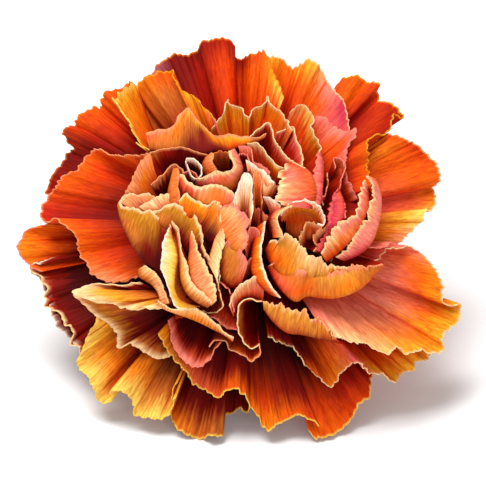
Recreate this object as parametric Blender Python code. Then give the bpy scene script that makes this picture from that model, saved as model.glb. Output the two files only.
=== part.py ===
"""A single dyed carnation head, picked just under its calyx and laid down on a table.

The head lies on the cut end of its stalk and on the lowest edges of two guard petals, with the face of
the bloom turned up and to the front (-Y).

Lengths are in millimetres until mesh_object() turns them into metres.
Petals are laid out in the head's own frame: u to the right, v to the far side and w along the axis, with
w = 0 at the calyx mouth. A rim point is written (x, y, w): x and y are units of the front view of the
bloom, y downwards, and w is the height over the calyx mouth in millimetres.
"""

import math

import bmesh
import bpy
import numpy as np

MM = 0.001

# The front view of the bloom, which the rims are laid out in
VIEW_UNITS_PER_MM = 5.5
VIEW_AXIS_X = 245.0
VIEW_AXIS_Y = 239.0
VIEW_OFF_AXIS = math.radians(20.0)

# How the head lies
LEAN = math.radians(35.5)
SEAT_X = 0.98
SEAT_Y = -0.55
SEAT_Z = 26.02

# Petals
BLADE_THICKNESS = 0.65
CLAW_WIDTH = 3.0
GUARD_CLAW_RING = 4.3
SECOND_CLAW_RING = 3.0
INNER_CLAW_RING = 1.5
COLUMN_PITCH = 4.7
ROW_PITCH = 12.0

# Bundle of claws inside the calyx, and the heart that the petals stand out of
CLAW_BUNDLE = ((2.8, -22.0), (4.4, -18.0), (5.4, -8.0))
HEART_NECK = 5.4
HEART_RADIUS = 10.4
HEART_TOP = 12.8
HEART_SIDES = 16
ROOT_DEPTH = 0.8

# Calyx, grown in one piece with its bracts and a stub of the stalk
GAP = 0.3
CALYX_WALL = 0.8
CALYX_FLOOR = -22.4
CALYX_FOOT = -25.2
CALYX_MOUTH = -3.4
CALYX_SIDES = 30
TOOTH_COUNT = 5
TOOTH_HEIGHT = 3.5
TOOTH_FLARE = 0.4
STALK_RADIUS = 2.0
STALK_END = -30.52
BRACT_COUNT = 4
BRACT_FOOT = -25.6
BRACT_TIP = -16.0
BRACT_WIDTH = 6.4
BRACT_THICKNESS = 0.9
BRACT_ROWS = 6
BRACT_COLUMNS = 4


class Petal:
    """One petal. rim runs clockwise as the front view shows it; lean is the slope at the rim in degrees,
    0 flat, 90 upright and more where the rim curls inwards, as one value or as several spread along it.
    rise is how far the petal climbs over the calyx mouth before it turns out, and hub is the point of the
    front view, with its height, that the petals of one inner whorl stand round."""

    def __init__(self, ring, name, rim, lean=0.0, rise=8.0, reach=0.45, hub=None):
        self.ring = ring
        self.name = name
        self.rim = rim
        self.lean = lean if isinstance(lean, tuple) else (lean, lean)
        self.rise = rise
        self.reach = reach
        self.hub = hub


def guard(name, **shape):
    return Petal(GUARD_CLAW_RING, name, **shape)


def second(name, **shape):
    return Petal(SECOND_CLAW_RING, name, **shape)


def inner(name, **shape):
    return Petal(INNER_CLAW_RING, name, **shape)


HUB_CENTRE = (248, 205, 14)
HUB_UPPER_LEFT = (200, 184, 14)
HUB_LEFT = (208, 255, 13)
HUB_RIGHT = (297, 222, 14)

GUARD_PETALS = (
    guard("guard_top", lean=-4, rise=8, rim=(
        (150, 77, 1), (155, 65, 1), (165, 57, 1), (177, 53, 0), (190, 53, 1), (199, 42, 4), (212, 38, 5),
        (226, 38, 5), (234, 45, 3), (239, 56, 2), (251, 55, 4), (264, 50, 7), (270, 64, 9), (277, 79, 10),
        (284, 97, 11))),
    guard("guard_top_right", lean=-4, rise=7, rim=(
        (262, 60, 2), (272, 57, 2), (284, 57, 2), (293, 66, 1), (302, 61, 3), (313, 60, 4), (322, 68, 4),
        (329, 80, 4), (337, 91, 4), (344, 99, 4), (348, 114, 5), (350, 130, 6))),
    guard("guard_upper_right", lean=-6, rise=5.5, rim=(
        (330, 92, 0), (337, 81, 0), (350, 75, 1), (362, 77, 1), (368, 83, 0), (380, 83, 1), (382, 93, 0),
        (380, 99, 0), (391, 102, 0), (404, 114, 1), (397, 121, 5), (384, 124, 8), (379, 134, 10),
        (363, 142, 12), (366, 155, 11), (370, 170, 10))),
    guard("guard_right", lean=-4, rise=7, rim=(
        (374, 146, 6), (390, 135, 5), (404, 137, 5), (411, 141, 4), (421, 147, 4), (433, 157, 3),
        (439, 166, 3), (442, 177, 3), (434, 184, 0), (437, 199, 0), (425, 212, 2), (423, 222, 1),
        (410, 233, 2), (398, 243, 3), (382, 247, 5))),
    guard("guard_lower_right", lean=-6, rise=8, rim=(
        (374, 262, 9), (388, 250, 7), (404, 247, 5), (420, 252, 3), (434, 267, 2), (443, 285, 2),
        (444, 301, 1), (461, 308, -1), (460, 322, -2), (447, 333, -1), (441, 342, 0), (443, 350, -1),
        (430, 355, 0), (418, 351, 2), (408, 354, 3), (398, 346, 5), (390, 354, 5), (372, 348, 6),
        (352, 341, 8), (328, 337, 10))),
    guard("guard_low_right", lean=-10, rise=7, rim=(
        (434, 352, -2), (424, 361, -2), (416, 363, -2), (413, 371, -2), (403, 374, -3), (396, 382, -3),
        (384, 379, -2), (370, 371, 1), (356, 362, 4), (343, 373, 1), (331, 388, -1), (318, 377, 1),
        (306, 363, 2), (293, 352, 4), (281, 343, 6), (268, 337, 8))),
    guard("guard_bottom_right", lean=-14, rise=5, rim=(
        (378, 366, -3), (371, 382, -3), (370, 397, -4), (360, 404, -4), (352, 419, -5), (340, 432, -6.4),
        (326, 439, -5.8), (313, 438, -4.6), (308, 426, -4), (302, 412, -3))),
    guard("guard_bottom", lean=-12, rise=7, rim=(
        (315, 428, -3), (305, 417, -1), (298, 414, 0), (286, 421, -2), (276, 427, -3), (268, 431, -3),
        (261, 421, -2), (255, 409, -1), (247, 399, 1), (240, 394, 2), (234, 389, 3), (226, 392, 3),
        (217, 397, 1), (206, 391, 1), (194, 384, 2), (186, 374, 3), (180, 363, 4))),
    guard("guard_bottom_left", lean=-16, rise=4.5, rim=(
        (254, 405, -4), (247, 412, -5), (240, 408, -4), (232, 414, -5), (222, 417, -4), (221, 430, -5),
        (218, 438, -5), (210, 437, -4), (198, 440, -5), (186, 436, -6), (176, 427, -6), (170, 415, -5),
        (172, 401, -2), (180, 384, 0))),
    guard("guard_low_left", lean=-10, rise=7, rim=(
        (176, 398, 0), (168, 411, -2), (161, 420, -4), (148, 418, -4), (136, 415, -4), (132, 399, -2),
        (118, 391, -1), (108, 398, -4), (102, 404, -5), (94, 392, -4), (87, 377, -3), (77, 365, -3),
        (82, 350, -2), (88, 334, -1), (98, 321, 0), (114, 312, 2))),
    guard("guard_left_frilled", lean=-18, rise=3.5, rim=(
        (86, 356, -5), (74, 345, -6), (63, 334, -6), (54, 320, -6), (48, 306, -6), (43, 292, -6),
        (39, 280, -6), (30, 272, -6), (28, 267, -5), (40, 265, -3), (56, 262, -2))),
    guard("guard_left", lean=-8, rise=6, rim=(
        (40, 270, -3), (27, 264, -4), (19, 256, -4), (17, 246, -4), (21, 236, -4), (28, 229, -3),
        (40, 226, -2), (52, 229, -1), (66, 235, 1))),
    guard("guard_upper_left_low", lean=-18, rise=3.5, rim=(
        (54, 196, -5), (44, 191, -6), (46, 183, -6), (52, 174, -6), (59, 165, -6), (67, 152, -6),
        (73, 147, -5), (66, 141, -5), (60, 133, -4), (65, 127, -3), (78, 126, -2))),
    guard("guard_upper_left", lean=-8, rise=6, rim=(
        (72, 134, -3), (76, 120, -2), (84, 110, -1), (92, 105, -1), (99, 108, -2), (102, 98, -1),
        (108, 91, 0), (117, 88, 0), (125, 81, 1), (136, 84, 2), (146, 92, 3))),
)

SECOND_PETALS = (
    second("upper_left_folded", lean=5, rise=11, rim=(
        (149, 151, 10), (139, 140, 9), (128, 124, 8), (120, 108, 7), (117, 98, 6), (121, 89, 5),
        (127, 86, 3), (134, 86, 3), (142, 79, 4), (155, 72, 5), (168, 70, 6), (173, 72, 7), (178, 86, 8),
        (184, 91, 8), (193, 95, 9), (202, 101, 10), (208, 113, 11), (214, 119, 12))),
    second("left_fan", lean=0, rise=11, rim=(
        (144, 277, 9), (131, 279, 7), (116, 281, 6), (102, 281, 5), (91, 275, 4), (87, 264, 4),
        (78, 251, 4), (75, 237, 5), (64, 226, 5), (54, 217, 5), (41, 222, 1), (41, 207, 1), (47, 197, 2),
        (54, 187, 3), (61, 177, 3), (77, 170, 3), (85, 157, 3), (99, 148, 5), (110, 152, 7), (121, 157, 9),
        (135, 155, 11), (148, 152, 13))),
    second("low_left_curled", lean=-10, rise=9, rim=(
        (170, 357, 3), (157, 359, 2), (143, 352, 2), (131, 344, 3), (118, 348, 1), (117, 336, 2),
        (108, 324, 3), (95, 314, 4), (83, 304, 5), (73, 296, 6), (76, 291, 8))),
    second("low_left_flap", lean=-60, rise=14, reach=0.3, rim=(
        (164, 308, 11), (150, 310, 10), (130, 309, 9), (108, 305, 8), (92, 303, 7), (82, 298, 7),
        (75, 292, 8))),
    second("bottom_pink_lip", lean=(60, 90, 90, -10, -20, 20), rise=12, rim=(
        (259, 342, 9), (258, 354, 8), (249, 360, 7), (241, 355, 7), (236, 348, 8), (225, 343, 8),
        (213, 341, 8), (209, 350, 7), (203, 361, 6), (194, 368, 5), (185, 364, 5), (177, 354, 6),
        (171, 343, 7), (168, 333, 8), (174, 321, 9))),
    second("top_twin_peaks", lean=60, rise=12, rim=(
        (211, 128, 11), (218, 120, 12), (225, 112, 13), (228, 99, 12), (233, 104, 12), (243, 108, 12),
        (249, 118, 13), (255, 106, 12), (262, 103, 12), (267, 96, 12), (273, 105, 13), (281, 115, 14),
        (291, 123, 15), (294, 130, 16))),
    second("upper_left_crest", lean=50, rise=12, rim=(
        (146, 133, 9), (158, 129, 10), (171, 128, 11), (180, 117, 12), (187, 108, 13), (195, 117, 14),
        (206, 128, 15), (216, 135, 16), (230, 134, 17), (245, 137, 17), (256, 137, 18), (265, 134, 18))),
    second("upper_right_tall", lean=(50, 60, 90, 120, 125), rise=12, rim=(
        (290, 112, 10), (297, 107, 11), (303, 105, 11), (309, 111, 12), (313, 124, 12), (317, 140, 13),
        (319, 155, 14), (315, 166, 15), (313, 178, 16), (317, 185, 16), (313, 196, 17), (317, 206, 17))),
    second("upper_right_pink", lean=40, rise=11, rim=(
        (314, 124, 9), (317, 117, 9), (327, 119, 9), (336, 125, 9), (347, 128, 9), (356, 129, 9),
        (357, 136, 10), (350, 144, 11), (347, 154, 12), (344, 163, 13))),
    second("right_cup_outer", lean=(80, 110, 125, 130, 120), rise=11, rim=(
        (368, 172, 12), (372, 178, 12), (372, 190, 12), (370, 205, 12), (367, 220, 12), (358, 231, 12),
        (351, 238, 12), (347, 248, 12), (337, 252, 12), (331, 261, 12))),
    second("low_right_cup", lean=158, rise=13, reach=0.75, rim=(
        (380, 264, 10), (370, 266, 10), (363, 268, 10), (357, 266, 10), (350, 266, 10), (340, 271, 11),
        (328, 272, 11), (318, 265, 11), (311, 266, 11), (304, 271, 11), (295, 266, 12), (285, 264, 12),
        (276, 261, 12), (269, 263, 12))),
    second("low_right_frill", lean=150, rise=12, reach=0.55, rim=(
        (326, 328, 9), (321, 319, 9), (311, 317, 10), (306, 309, 10), (298, 311, 10), (288, 307, 11),
        (276, 304, 12), (262, 302, 13))),
    second("low_left_band", lean=-30, rise=13, reach=0.35, rim=(
        (233, 340, 9), (226, 333, 9), (216, 326, 10), (207, 317, 11), (197, 309, 12), (185, 307, 12),
        (172, 306, 12), (158, 301, 12), (163, 293, 13))),
)

INNER_PETALS = (
    inner("top_pink_loop", lean=75, hub=HUB_CENTRE, rim=(
        (240, 139, 16), (249, 137, 17), (256, 131, 17), (262, 127, 17), (268, 121, 17), (272, 126, 17),
        (274, 137, 17), (278, 147, 18), (286, 155, 18), (295, 161, 19), (304, 167, 19))),
    inner("top_pink_triangle", lean=65, rise=13, rim=(
        (277, 134, 15), (285, 129, 15), (293, 128, 15), (296, 140, 16), (299, 152, 17), (304, 165, 18))),
    inner("right_ribbon", lean=90, rise=13, rim=(
        (331, 166, 13), (334, 157, 13), (338, 160, 13), (342, 161, 13), (342, 178, 14), (341, 195, 15),
        (343, 212, 16), (336, 226, 17))),
    inner("right_cup_inner", lean=(90, 115, 125, 125), rise=12, rim=(
        (362, 178, 14), (359, 190, 14), (356, 203, 14), (354, 214, 14), (344, 222, 14), (334, 229, 14),
        (330, 240, 14), (323, 252, 14))),
    inner("low_right_inner", lean=115, rise=11, reach=0.5, rim=(
        (346, 266, 11), (336, 264, 12), (326, 262, 12), (321, 255, 13), (311, 256, 13), (302, 247, 13),
        (297, 240, 14), (288, 235, 14), (282, 240, 14), (273, 240, 14), (268, 234, 14))),
    inner("centre_frilled", lean=130, hub=HUB_CENTRE, reach=0.6, rim=(
        (287, 166, 20), (281, 173, 20), (283, 178, 20), (278, 185, 20), (277, 193, 20), (275, 197, 20),
        (281, 204, 20))),
    inner("centre_pale_front", lean=85, hub=HUB_CENTRE, rim=(
        (238, 196, 20), (241, 184, 21), (245, 175, 22), (249, 172, 22), (252, 178, 21))),
    inner("centre_pale_back", lean=85, hub=HUB_CENTRE, rim=(
        (252, 172, 20), (256, 172, 20), (261, 180, 20), (268, 183, 19), (277, 186, 19))),
    inner("right_spiral", lean=85, hub=HUB_RIGHT, rim=(
        (283, 236, 18), (277, 226, 19), (276, 219, 19), (283, 212, 19), (291, 206, 20), (300, 202, 20),
        (309, 201, 20), (316, 207, 19), (323, 215, 18))),
    inner("right_spiral_heart", lean=85, hub=(311, 238, 13), rim=(
        (300, 244, 16), (299, 235, 17), (304, 226, 17), (308, 221, 17), (315, 224, 17), (321, 226, 17))),
    inner("right_long_edge", lean=100, rise=12, rim=(
        (262, 222, 19), (263, 238, 18), (262, 254, 17), (264, 268, 16), (269, 281, 15), (277, 291, 13),
        (284, 298, 12))),
    inner("upper_left_wrap", lean=(70, 80, 80, 80), hub=HUB_UPPER_LEFT, rim=(
        (123, 225, 13), (119, 212, 14), (120, 202, 15), (131, 183, 15), (143, 161, 16), (152, 151, 16),
        (172, 149, 16), (190, 148, 17), (208, 154, 17), (215, 160, 17))),
    inner("upper_left_fold", lean=85, hub=HUB_UPPER_LEFT, rim=(
        (151, 185, 16), (160, 177, 17), (168, 168, 17), (174, 164, 18), (181, 168, 18), (186, 175, 18))),
    inner("upper_left_curl", lean=88, hub=HUB_UPPER_LEFT, rim=(
        (196, 177, 18), (189, 171, 19), (186, 163, 19), (187, 159, 20), (192, 157, 20), (198, 161, 20),
        (203, 168, 20), (202, 174, 19))),
    inner("upper_left_ring", lean=85, hub=HUB_UPPER_LEFT, rim=(
        (204, 172, 18), (204, 162, 18), (210, 155, 18), (217, 152, 18), (225, 151, 18), (230, 152, 18))),
    inner("upper_left_shell", lean=130, hub=(212, 160, 14), reach=0.5, rim=(
        (229, 151, 19), (232, 158, 19), (233, 166, 19), (226, 171, 19), (216, 170, 19), (208, 173, 19),
        (200, 179, 19))),
    inner("upper_left_apron", lean=135, hub=(212, 165, 14), reach=0.5, rim=(
        (237, 197, 18), (230, 192, 18), (221, 187, 18), (211, 185, 18), (203, 188, 18), (195, 187, 18),
        (188, 181, 18), (182, 174, 18))),
    inner("left_shell_outer", lean=145, hub=(190, 200, 14), reach=0.6, rim=(
        (172, 226, 15), (167, 219, 15), (160, 213, 15), (150, 210, 15), (138, 208, 15), (128, 208, 15),
        (120, 203, 15))),
    inner("left_shell_middle", lean=135, hub=(195, 205, 14), reach=0.5, rim=(
        (202, 238, 16), (198, 227, 16), (193, 213, 16), (188, 213, 16), (179, 205, 17), (170, 203, 17),
        (162, 207, 16), (152, 210, 16))),
    inner("left_shell_inner", lean=130, hub=(205, 195, 14), reach=0.5, rim=(
        (223, 230, 16), (220, 216, 17), (219, 200, 17), (207, 204, 17), (194, 199, 17), (187, 194, 17),
        (180, 201, 17))),
    inner("left_small_flap", lean=95, hub=(185, 190, 14), rim=(
        (141, 207, 15), (150, 201, 16), (160, 196, 16), (168, 194, 16), (175, 197, 16), (180, 201, 16))),
    inner("left_peach_corner", lean=95, hub=(185, 190, 14), rim=(
        (131, 203, 15), (133, 195, 15), (140, 193, 15), (147, 193, 15), (155, 197, 16))),
    inner("centre_peach_shell", lean=135, hub=(225, 200, 14), reach=0.5, rim=(
        (238, 246, 16), (246, 236, 17), (250, 224, 17), (246, 214, 18), (240, 210, 18), (231, 205, 18),
        (221, 208, 18))),
    inner("left_ribbon_pale", lean=80, hub=(200, 262, 12), rim=(
        (180, 305, 12), (172, 292, 13), (167, 280, 14), (161, 270, 15), (162, 256, 16), (164, 243, 16),
        (170, 228, 17))),
    inner("left_ribbon_second", lean=85, hub=(205, 262, 12), rim=(
        (215, 305, 12), (203, 291, 13), (192, 281, 14), (187, 266, 15), (182, 250, 16), (179, 236, 17),
        (173, 222, 17))),
    inner("left_ribbon_third", lean=88, hub=(210, 262, 12), rim=(
        (206, 262, 14), (200, 252, 15), (197, 246, 16), (195, 239, 17), (192, 233, 17))),
    inner("left_ribbon_fourth", lean=88, hub=(205, 262, 12), rim=(
        (222, 229, 17), (219, 240, 17), (214, 252, 16), (209, 260, 16))),
    inner("left_ribbon_right", lean=88, hub=(200, 262, 12), rim=(
        (214, 256, 16), (219, 265, 16), (217, 280, 15), (219, 294, 14), (222, 305, 13), (214, 311, 12),
        (203, 310, 12))),
    inner("centre_low_shell", lean=130, hub=(235, 235, 14), reach=0.6, rim=(
        (249, 268, 16), (249, 258, 17), (243, 251, 18), (238, 244, 18), (230, 241, 18), (222, 246, 18))),
    inner("bottom_hood", lean=90, hub=(245, 290, 9), rim=(
        (259, 296, 14), (263, 284, 15), (257, 277, 16), (247, 281, 16), (238, 284, 16), (232, 295, 15),
        (231, 308, 14))),
    inner("bottom_pocket", lean=85, hub=(253, 290, 9), rim=(
        (259, 342, 9), (252, 349, 9), (244, 343, 10), (240, 330, 11), (237, 312, 13), (241, 302, 14),
        (252, 297, 14))),
    inner("bottom_small_pink", lean=60, rise=10, rim=(
        (239, 331, 10), (230, 330, 10), (222, 325, 11), (216, 318, 12), (208, 316, 12))),
)

PETALS = GUARD_PETALS + SECOND_PETALS + INNER_PETALS


def head_point(x, y, w):
    """A point of the front view, at height w, in the head's own frame."""
    u = (x - VIEW_AXIS_X) / VIEW_UNITS_PER_MM
    up = (VIEW_AXIS_Y - y) / VIEW_UNITS_PER_MM
    v = (up - w * math.sin(VIEW_OFF_AXIS)) / math.cos(VIEW_OFF_AXIS)
    return np.array((u, v, w), float)


def smooth_curve(points, samples):
    """A Catmull-Rom curve through the points, in even steps of its length, and the share of the way along
    that each sample has."""
    points = np.asarray(points, float)
    knots = np.concatenate(([0.0], np.cumsum(np.linalg.norm(np.diff(points, axis=0), axis=1) ** 0.75)))
    slopes = np.gradient(points, knots, axis=0)
    dense = np.linspace(0.0, knots[-1], 40 * len(points))
    k = np.clip(np.searchsorted(knots, dense, side="right") - 1, 0, len(knots) - 2)
    span = (knots[k + 1] - knots[k])[:, None]
    f = (dense - knots[k])[:, None] / span
    curve = (
        (2 * f**3 - 3 * f**2 + 1) * points[k]
        + (f**3 - 2 * f**2 + f) * span * slopes[k]
        + (3 * f**2 - 2 * f**3) * points[k + 1]
        + (f**3 - f**2) * span * slopes[k + 1]
    )
    walked = np.concatenate(([0.0], np.cumsum(np.linalg.norm(np.diff(curve, axis=0), axis=1))))
    even = np.linspace(0.0, walked[-1], samples)
    return np.stack([np.interp(even, walked, curve[:, i]) for i in range(3)], axis=1), walked[-1]


def petal_handles(petal, columns):
    """The four rows of control points that a petal's lengthwise curves have, from the claw to the rim."""
    rim, length = smooth_curve([head_point(*p) for p in petal.rim], columns + 1)
    middle = rim.mean(axis=0)
    if petal.hub is None:
        heading = middle[:2] / np.linalg.norm(middle[:2])
        shoulder = np.append(heading * (petal.ring + 1.0), petal.rise)
    else:
        shoulder = head_point(*petal.hub)
        heading = middle[:2] - shoulder[:2]
        heading = heading / max(np.linalg.norm(heading), 1e-6)
    foot = np.append(shoulder[:2] * min(1.0, petal.ring / max(np.linalg.norm(shoulder[:2]), 1e-6)), 0.0)
    across = np.array((heading[1], -heading[0], 0.0))
    spread = np.linspace(-0.5, 0.5, columns + 1)[:, None] * CLAW_WIDTH * across
    claw = foot + spread
    shoulders = shoulder + spread * 1.4
    apex = shoulder[:2] - heading * 2.0
    out = rim[:, :2] - apex
    out = out / np.maximum(np.linalg.norm(out, axis=1, keepdims=True), 1e-6)
    turns = np.interp(np.linspace(0, 1, columns + 1), np.linspace(0, 1, len(petal.lean)), petal.lean)
    turns = np.radians(turns)
    facing = np.column_stack((out * np.cos(turns)[:, None], np.sin(turns)))
    chord = np.linalg.norm(rim - claw, axis=1, keepdims=True)
    return claw, shoulders, rim - facing * chord * petal.reach, rim, length


def petal_sheet(petal, columns, rows, start=0.0):
    """The petal's middle surface as a (rows + 1, columns + 1, 3) grid, from start to the rim."""
    claw, shoulders, before_rim, rim, _ = petal_handles(petal, columns)
    t = np.linspace(start, 1.0, rows + 1)[:, None, None]
    return (
        (1 - t) ** 3 * claw + 3 * t * (1 - t) ** 2 * shoulders
        + 3 * t**2 * (1 - t) * before_rim + t**3 * rim
    )


def sheet_normals(grid):
    """Unit normals of the grid, on the side that faces up from a flat petal."""
    along = np.gradient(grid, axis=0)
    across = np.gradient(grid, axis=1)
    normals = np.cross(across, along)
    return normals / np.maximum(np.linalg.norm(normals, axis=2, keepdims=True), 1e-9)


def heart_side():
    """Radius and height of the heart's side, from the calyx mouth up."""
    return (
        (HEART_NECK, 1.4),
        (HEART_RADIUS * 0.86, 2.8),
        (HEART_RADIUS, 5.0),
        (HEART_RADIUS, 7.5),
        (HEART_RADIUS * 0.86, 10.0),
        (HEART_RADIUS * 0.5, HEART_TOP - 0.4),
    )


def heart_depth(point):
    """How far a point is inside the heart, in mm, and less than 0 outside it."""
    radii, heights = zip(*heart_side())
    return min(np.interp(point[2], heights, radii) - math.hypot(point[0], point[1]), HEART_TOP - point[2])


def blade_start(petal, columns):
    """Where a petal's lengthwise curves are still inside the heart, all of them."""
    grid = petal_sheet(petal, columns, 50)
    depths = [min(heart_depth(point) for point in row) for row in grid]
    inside = [r / 50 for r, depth in enumerate(depths) if depth > ROOT_DEPTH]
    return max(inside) if inside else 0.15


def blade(grid, thickness):
    """Points and faces of a closed blade round the grid, split into triangles alike on both faces."""
    normals = sheet_normals(grid)
    rows, columns = grid.shape[0], grid.shape[1]
    points = np.concatenate((
        (grid + normals * thickness / 2).reshape(-1, 3),
        (grid - normals * thickness / 2).reshape(-1, 3),
    ))
    below = rows * columns

    def at(r, c):
        return r * columns + c

    faces = []
    for r in range(rows - 1):
        for c in range(columns - 1):
            a, b, d, e = at(r, c), at(r, c + 1), at(r + 1, c + 1), at(r + 1, c)
            for one, two, three in ((a, b, d), (a, d, e)):
                faces.append((one, two, three))
                faces.append((below + three, below + two, below + one))
    border = (
        [at(0, c) for c in range(columns)]
        + [at(r, columns - 1) for r in range(1, rows)]
        + [at(rows - 1, c) for c in range(columns - 2, -1, -1)]
        + [at(r, 0) for r in range(rows - 2, 0, -1)]
    )
    for one, two in zip(border, border[1:] + border[:1]):
        faces.append((one, below + one, below + two))
        faces.append((one, below + two, two))
    return points, faces


def lie_down(points):
    """Head frame, in mm, to the part's own, in metres: the head leans to the front and rests on the floor."""
    u, v, w = np.asarray(points, float).T
    x = u + SEAT_X
    y = v * math.cos(LEAN) - w * math.sin(LEAN) + SEAT_Y
    z = v * math.sin(LEAN) + w * math.cos(LEAN) + SEAT_Z
    return np.column_stack((x, y, z)) * MM


def material(name, colour, roughness):
    made = bpy.data.materials.new(name)
    made.use_nodes = True
    shader = made.node_tree.nodes["Principled BSDF"]
    shader.inputs["Base Color"].default_value = (*colour, 1.0)
    shader.inputs["Roughness"].default_value = roughness
    shader.inputs["Metallic"].default_value = 0.0
    return made


def mesh_object(name, points, faces, finish, collection=None):
    """An object with its normals facing out, in the row frame."""
    mesh = bpy.data.meshes.new(name)
    mesh.from_pydata([tuple(p) for p in lie_down(points)], [], faces)
    work = bmesh.new()
    work.from_mesh(mesh)
    bmesh.ops.recalc_face_normals(work, faces=work.faces)
    work.to_mesh(mesh)
    work.free()
    mesh.materials.append(finish)
    made = bpy.data.objects.new(name, mesh)
    (collection or bpy.context.scene.collection).objects.link(made)
    return made


def turned_shell(profile, sides):
    """Points and faces of a profile turned about the axis. Each of its points is a radius and a height, or a
    function of the angle that gives them; its two ends are heights on the axis."""
    points = [(0.0, 0.0, profile[0])]
    for station in profile[1:-1]:
        for k in range(sides):
            angle = 2 * math.pi * k / sides
            radius, w = station(angle) if callable(station) else station
            points.append((radius * math.cos(angle), radius * math.sin(angle), w))
    points.append((0.0, 0.0, profile[-1]))
    last = len(points) - 1
    rings = len(profile) - 2
    faces = []
    for k in range(sides):
        n = (k + 1) % sides
        faces.append((0, 1 + n, 1 + k))
        for r in range(rings - 1):
            low, high = 1 + r * sides, 1 + (r + 1) * sides
            faces.append((low + k, low + n, high + n))
            faces.append((low + k, high + n, high + k))
        top = 1 + (rings - 1) * sides
        faces.append((top + k, top + n, last))
    return points, faces


def skins(work):
    """The mesh's vertices, in one list for each connected skin."""
    left = set(work.verts)
    found = []
    while left:
        queue = [left.pop()]
        skin = []
        while queue:
            vertex = queue.pop()
            skin.append(vertex)
            for edge in vertex.link_edges:
                other = edge.other_vert(vertex)
                if other in left:
                    left.remove(other)
                    queue.append(other)
        found.append(skin)
    return found


def fill_sealed_pockets(mesh):
    """Make solid every pocket that the joined pieces close off on all sides: each has a skin of its own
    inside the outer one."""
    work = bmesh.new()
    work.from_mesh(mesh)
    found = skins(work)
    outer = max(found, key=len)
    inner_vertices = [vertex for skin in found if skin is not outer for vertex in skin]
    bmesh.ops.delete(work, geom=inner_vertices, context="VERTS")
    work.to_mesh(mesh)
    work.free()


def fuse(body, collection):
    """Join everything in the collection to the body as one solid, and clear the collection away."""
    union = body.modifiers.new("union", "BOOLEAN")
    union.operation = "UNION"
    union.operand_type = "COLLECTION"
    union.collection = collection
    union.solver = "MANIFOLD"
    bpy.context.view_layer.update()
    fused = bpy.data.meshes.new_from_object(body.evaluated_get(bpy.context.evaluated_depsgraph_get()))
    fill_sealed_pockets(fused)
    body.modifiers.clear()
    body.data = fused
    for joined in list(collection.objects):
        bpy.data.objects.remove(joined)
    bpy.data.collections.remove(collection)


def heart_profile():
    """The bundle of claws in the calyx, and the dome over it that every petal grows out of."""
    return [CLAW_BUNDLE[0][1], *CLAW_BUNDLE, *heart_side(), HEART_TOP]


def make_bloom(finish):
    """Every petal, fused with the heart into one body."""
    petals = bpy.data.collections.new("petals")
    bpy.context.scene.collection.children.link(petals)
    for petal in PETALS:
        _, length = smooth_curve([head_point(*p) for p in petal.rim], 2)
        columns = max(4, round(length / COLUMN_PITCH))
        start = blade_start(petal, columns)
        lengthwise = petal_sheet(petal, columns, 20, start)[:, columns // 2]
        run = np.linalg.norm(np.diff(lengthwise, axis=0), axis=1).sum()
        rows = max(2, round(run / ROW_PITCH))
        points, faces = blade(petal_sheet(petal, columns, rows, start), BLADE_THICKNESS)
        mesh_object("petal_" + petal.name, points, faces, finish, petals)
    bloom = mesh_object("bloom", *turned_shell(heart_profile(), HEART_SIDES), finish)
    fuse(bloom, petals)
    return bloom


def calyx_bore(w):
    """Inner radius of the calyx at height w: the claw bundle and a gap round it."""
    radii, heights = zip(*CLAW_BUNDLE)
    return float(np.interp(w, heights, radii)) + GAP


def tooth(angle):
    """How far a tooth of the mouth reaches up at this angle, from 0 in a notch to 1 at a tip."""
    share = (angle * TOOTH_COUNT / (2 * math.pi)) % 1.0
    return 1.0 - abs(2.0 * share - 1.0)


def mouth_edge(wall):
    """The toothed edge of the calyx, on its outer side where wall is its thickness, or inner where it is 0."""

    def edge(angle):
        up = tooth(angle)
        return calyx_bore(CALYX_MOUTH) + TOOTH_FLARE * up + wall, CALYX_MOUTH + TOOTH_HEIGHT * up

    return edge


def calyx_profile():
    """From the middle of its foot up the outer side, over the teeth and down the bore to its floor."""
    outer = [(calyx_bore(w) + CALYX_WALL, w) for w in (-21.0, -18.0, -13.0, -8.0, CALYX_MOUTH)]
    bore = [(calyx_bore(w), w) for w in (CALYX_MOUTH, -8.0, -13.0, -18.0, CALYX_FLOOR)]
    return (
        [CALYX_FOOT, (STALK_RADIUS + 0.8, CALYX_FOOT)]
        + outer
        + [mouth_edge(CALYX_WALL), mouth_edge(0.0)]
        + bore
        + [CALYX_FLOOR]
    )


def bract_sheet(turn):
    """The middle surface of a scale that clasps the foot of the calyx: pointed, widest low down."""
    rows = []
    for r in range(BRACT_ROWS + 1):
        t = r / BRACT_ROWS
        w = BRACT_FOOT + (BRACT_TIP - BRACT_FOOT) * t
        radius = calyx_bore(max(w, CALYX_FLOOR)) + CALYX_WALL + BRACT_THICKNESS * (0.15 + 0.3 * t)
        half = BRACT_WIDTH / 2 * math.sqrt(max(1.0 - t, 0.02)) * (0.8 + 0.6 * t)
        angles = [turn + half / radius * (2 * c / BRACT_COLUMNS - 1) for c in range(BRACT_COLUMNS + 1)]
        rows.append([(radius * math.cos(a), radius * math.sin(a), w) for a in angles])
    return np.array(rows)


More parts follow.
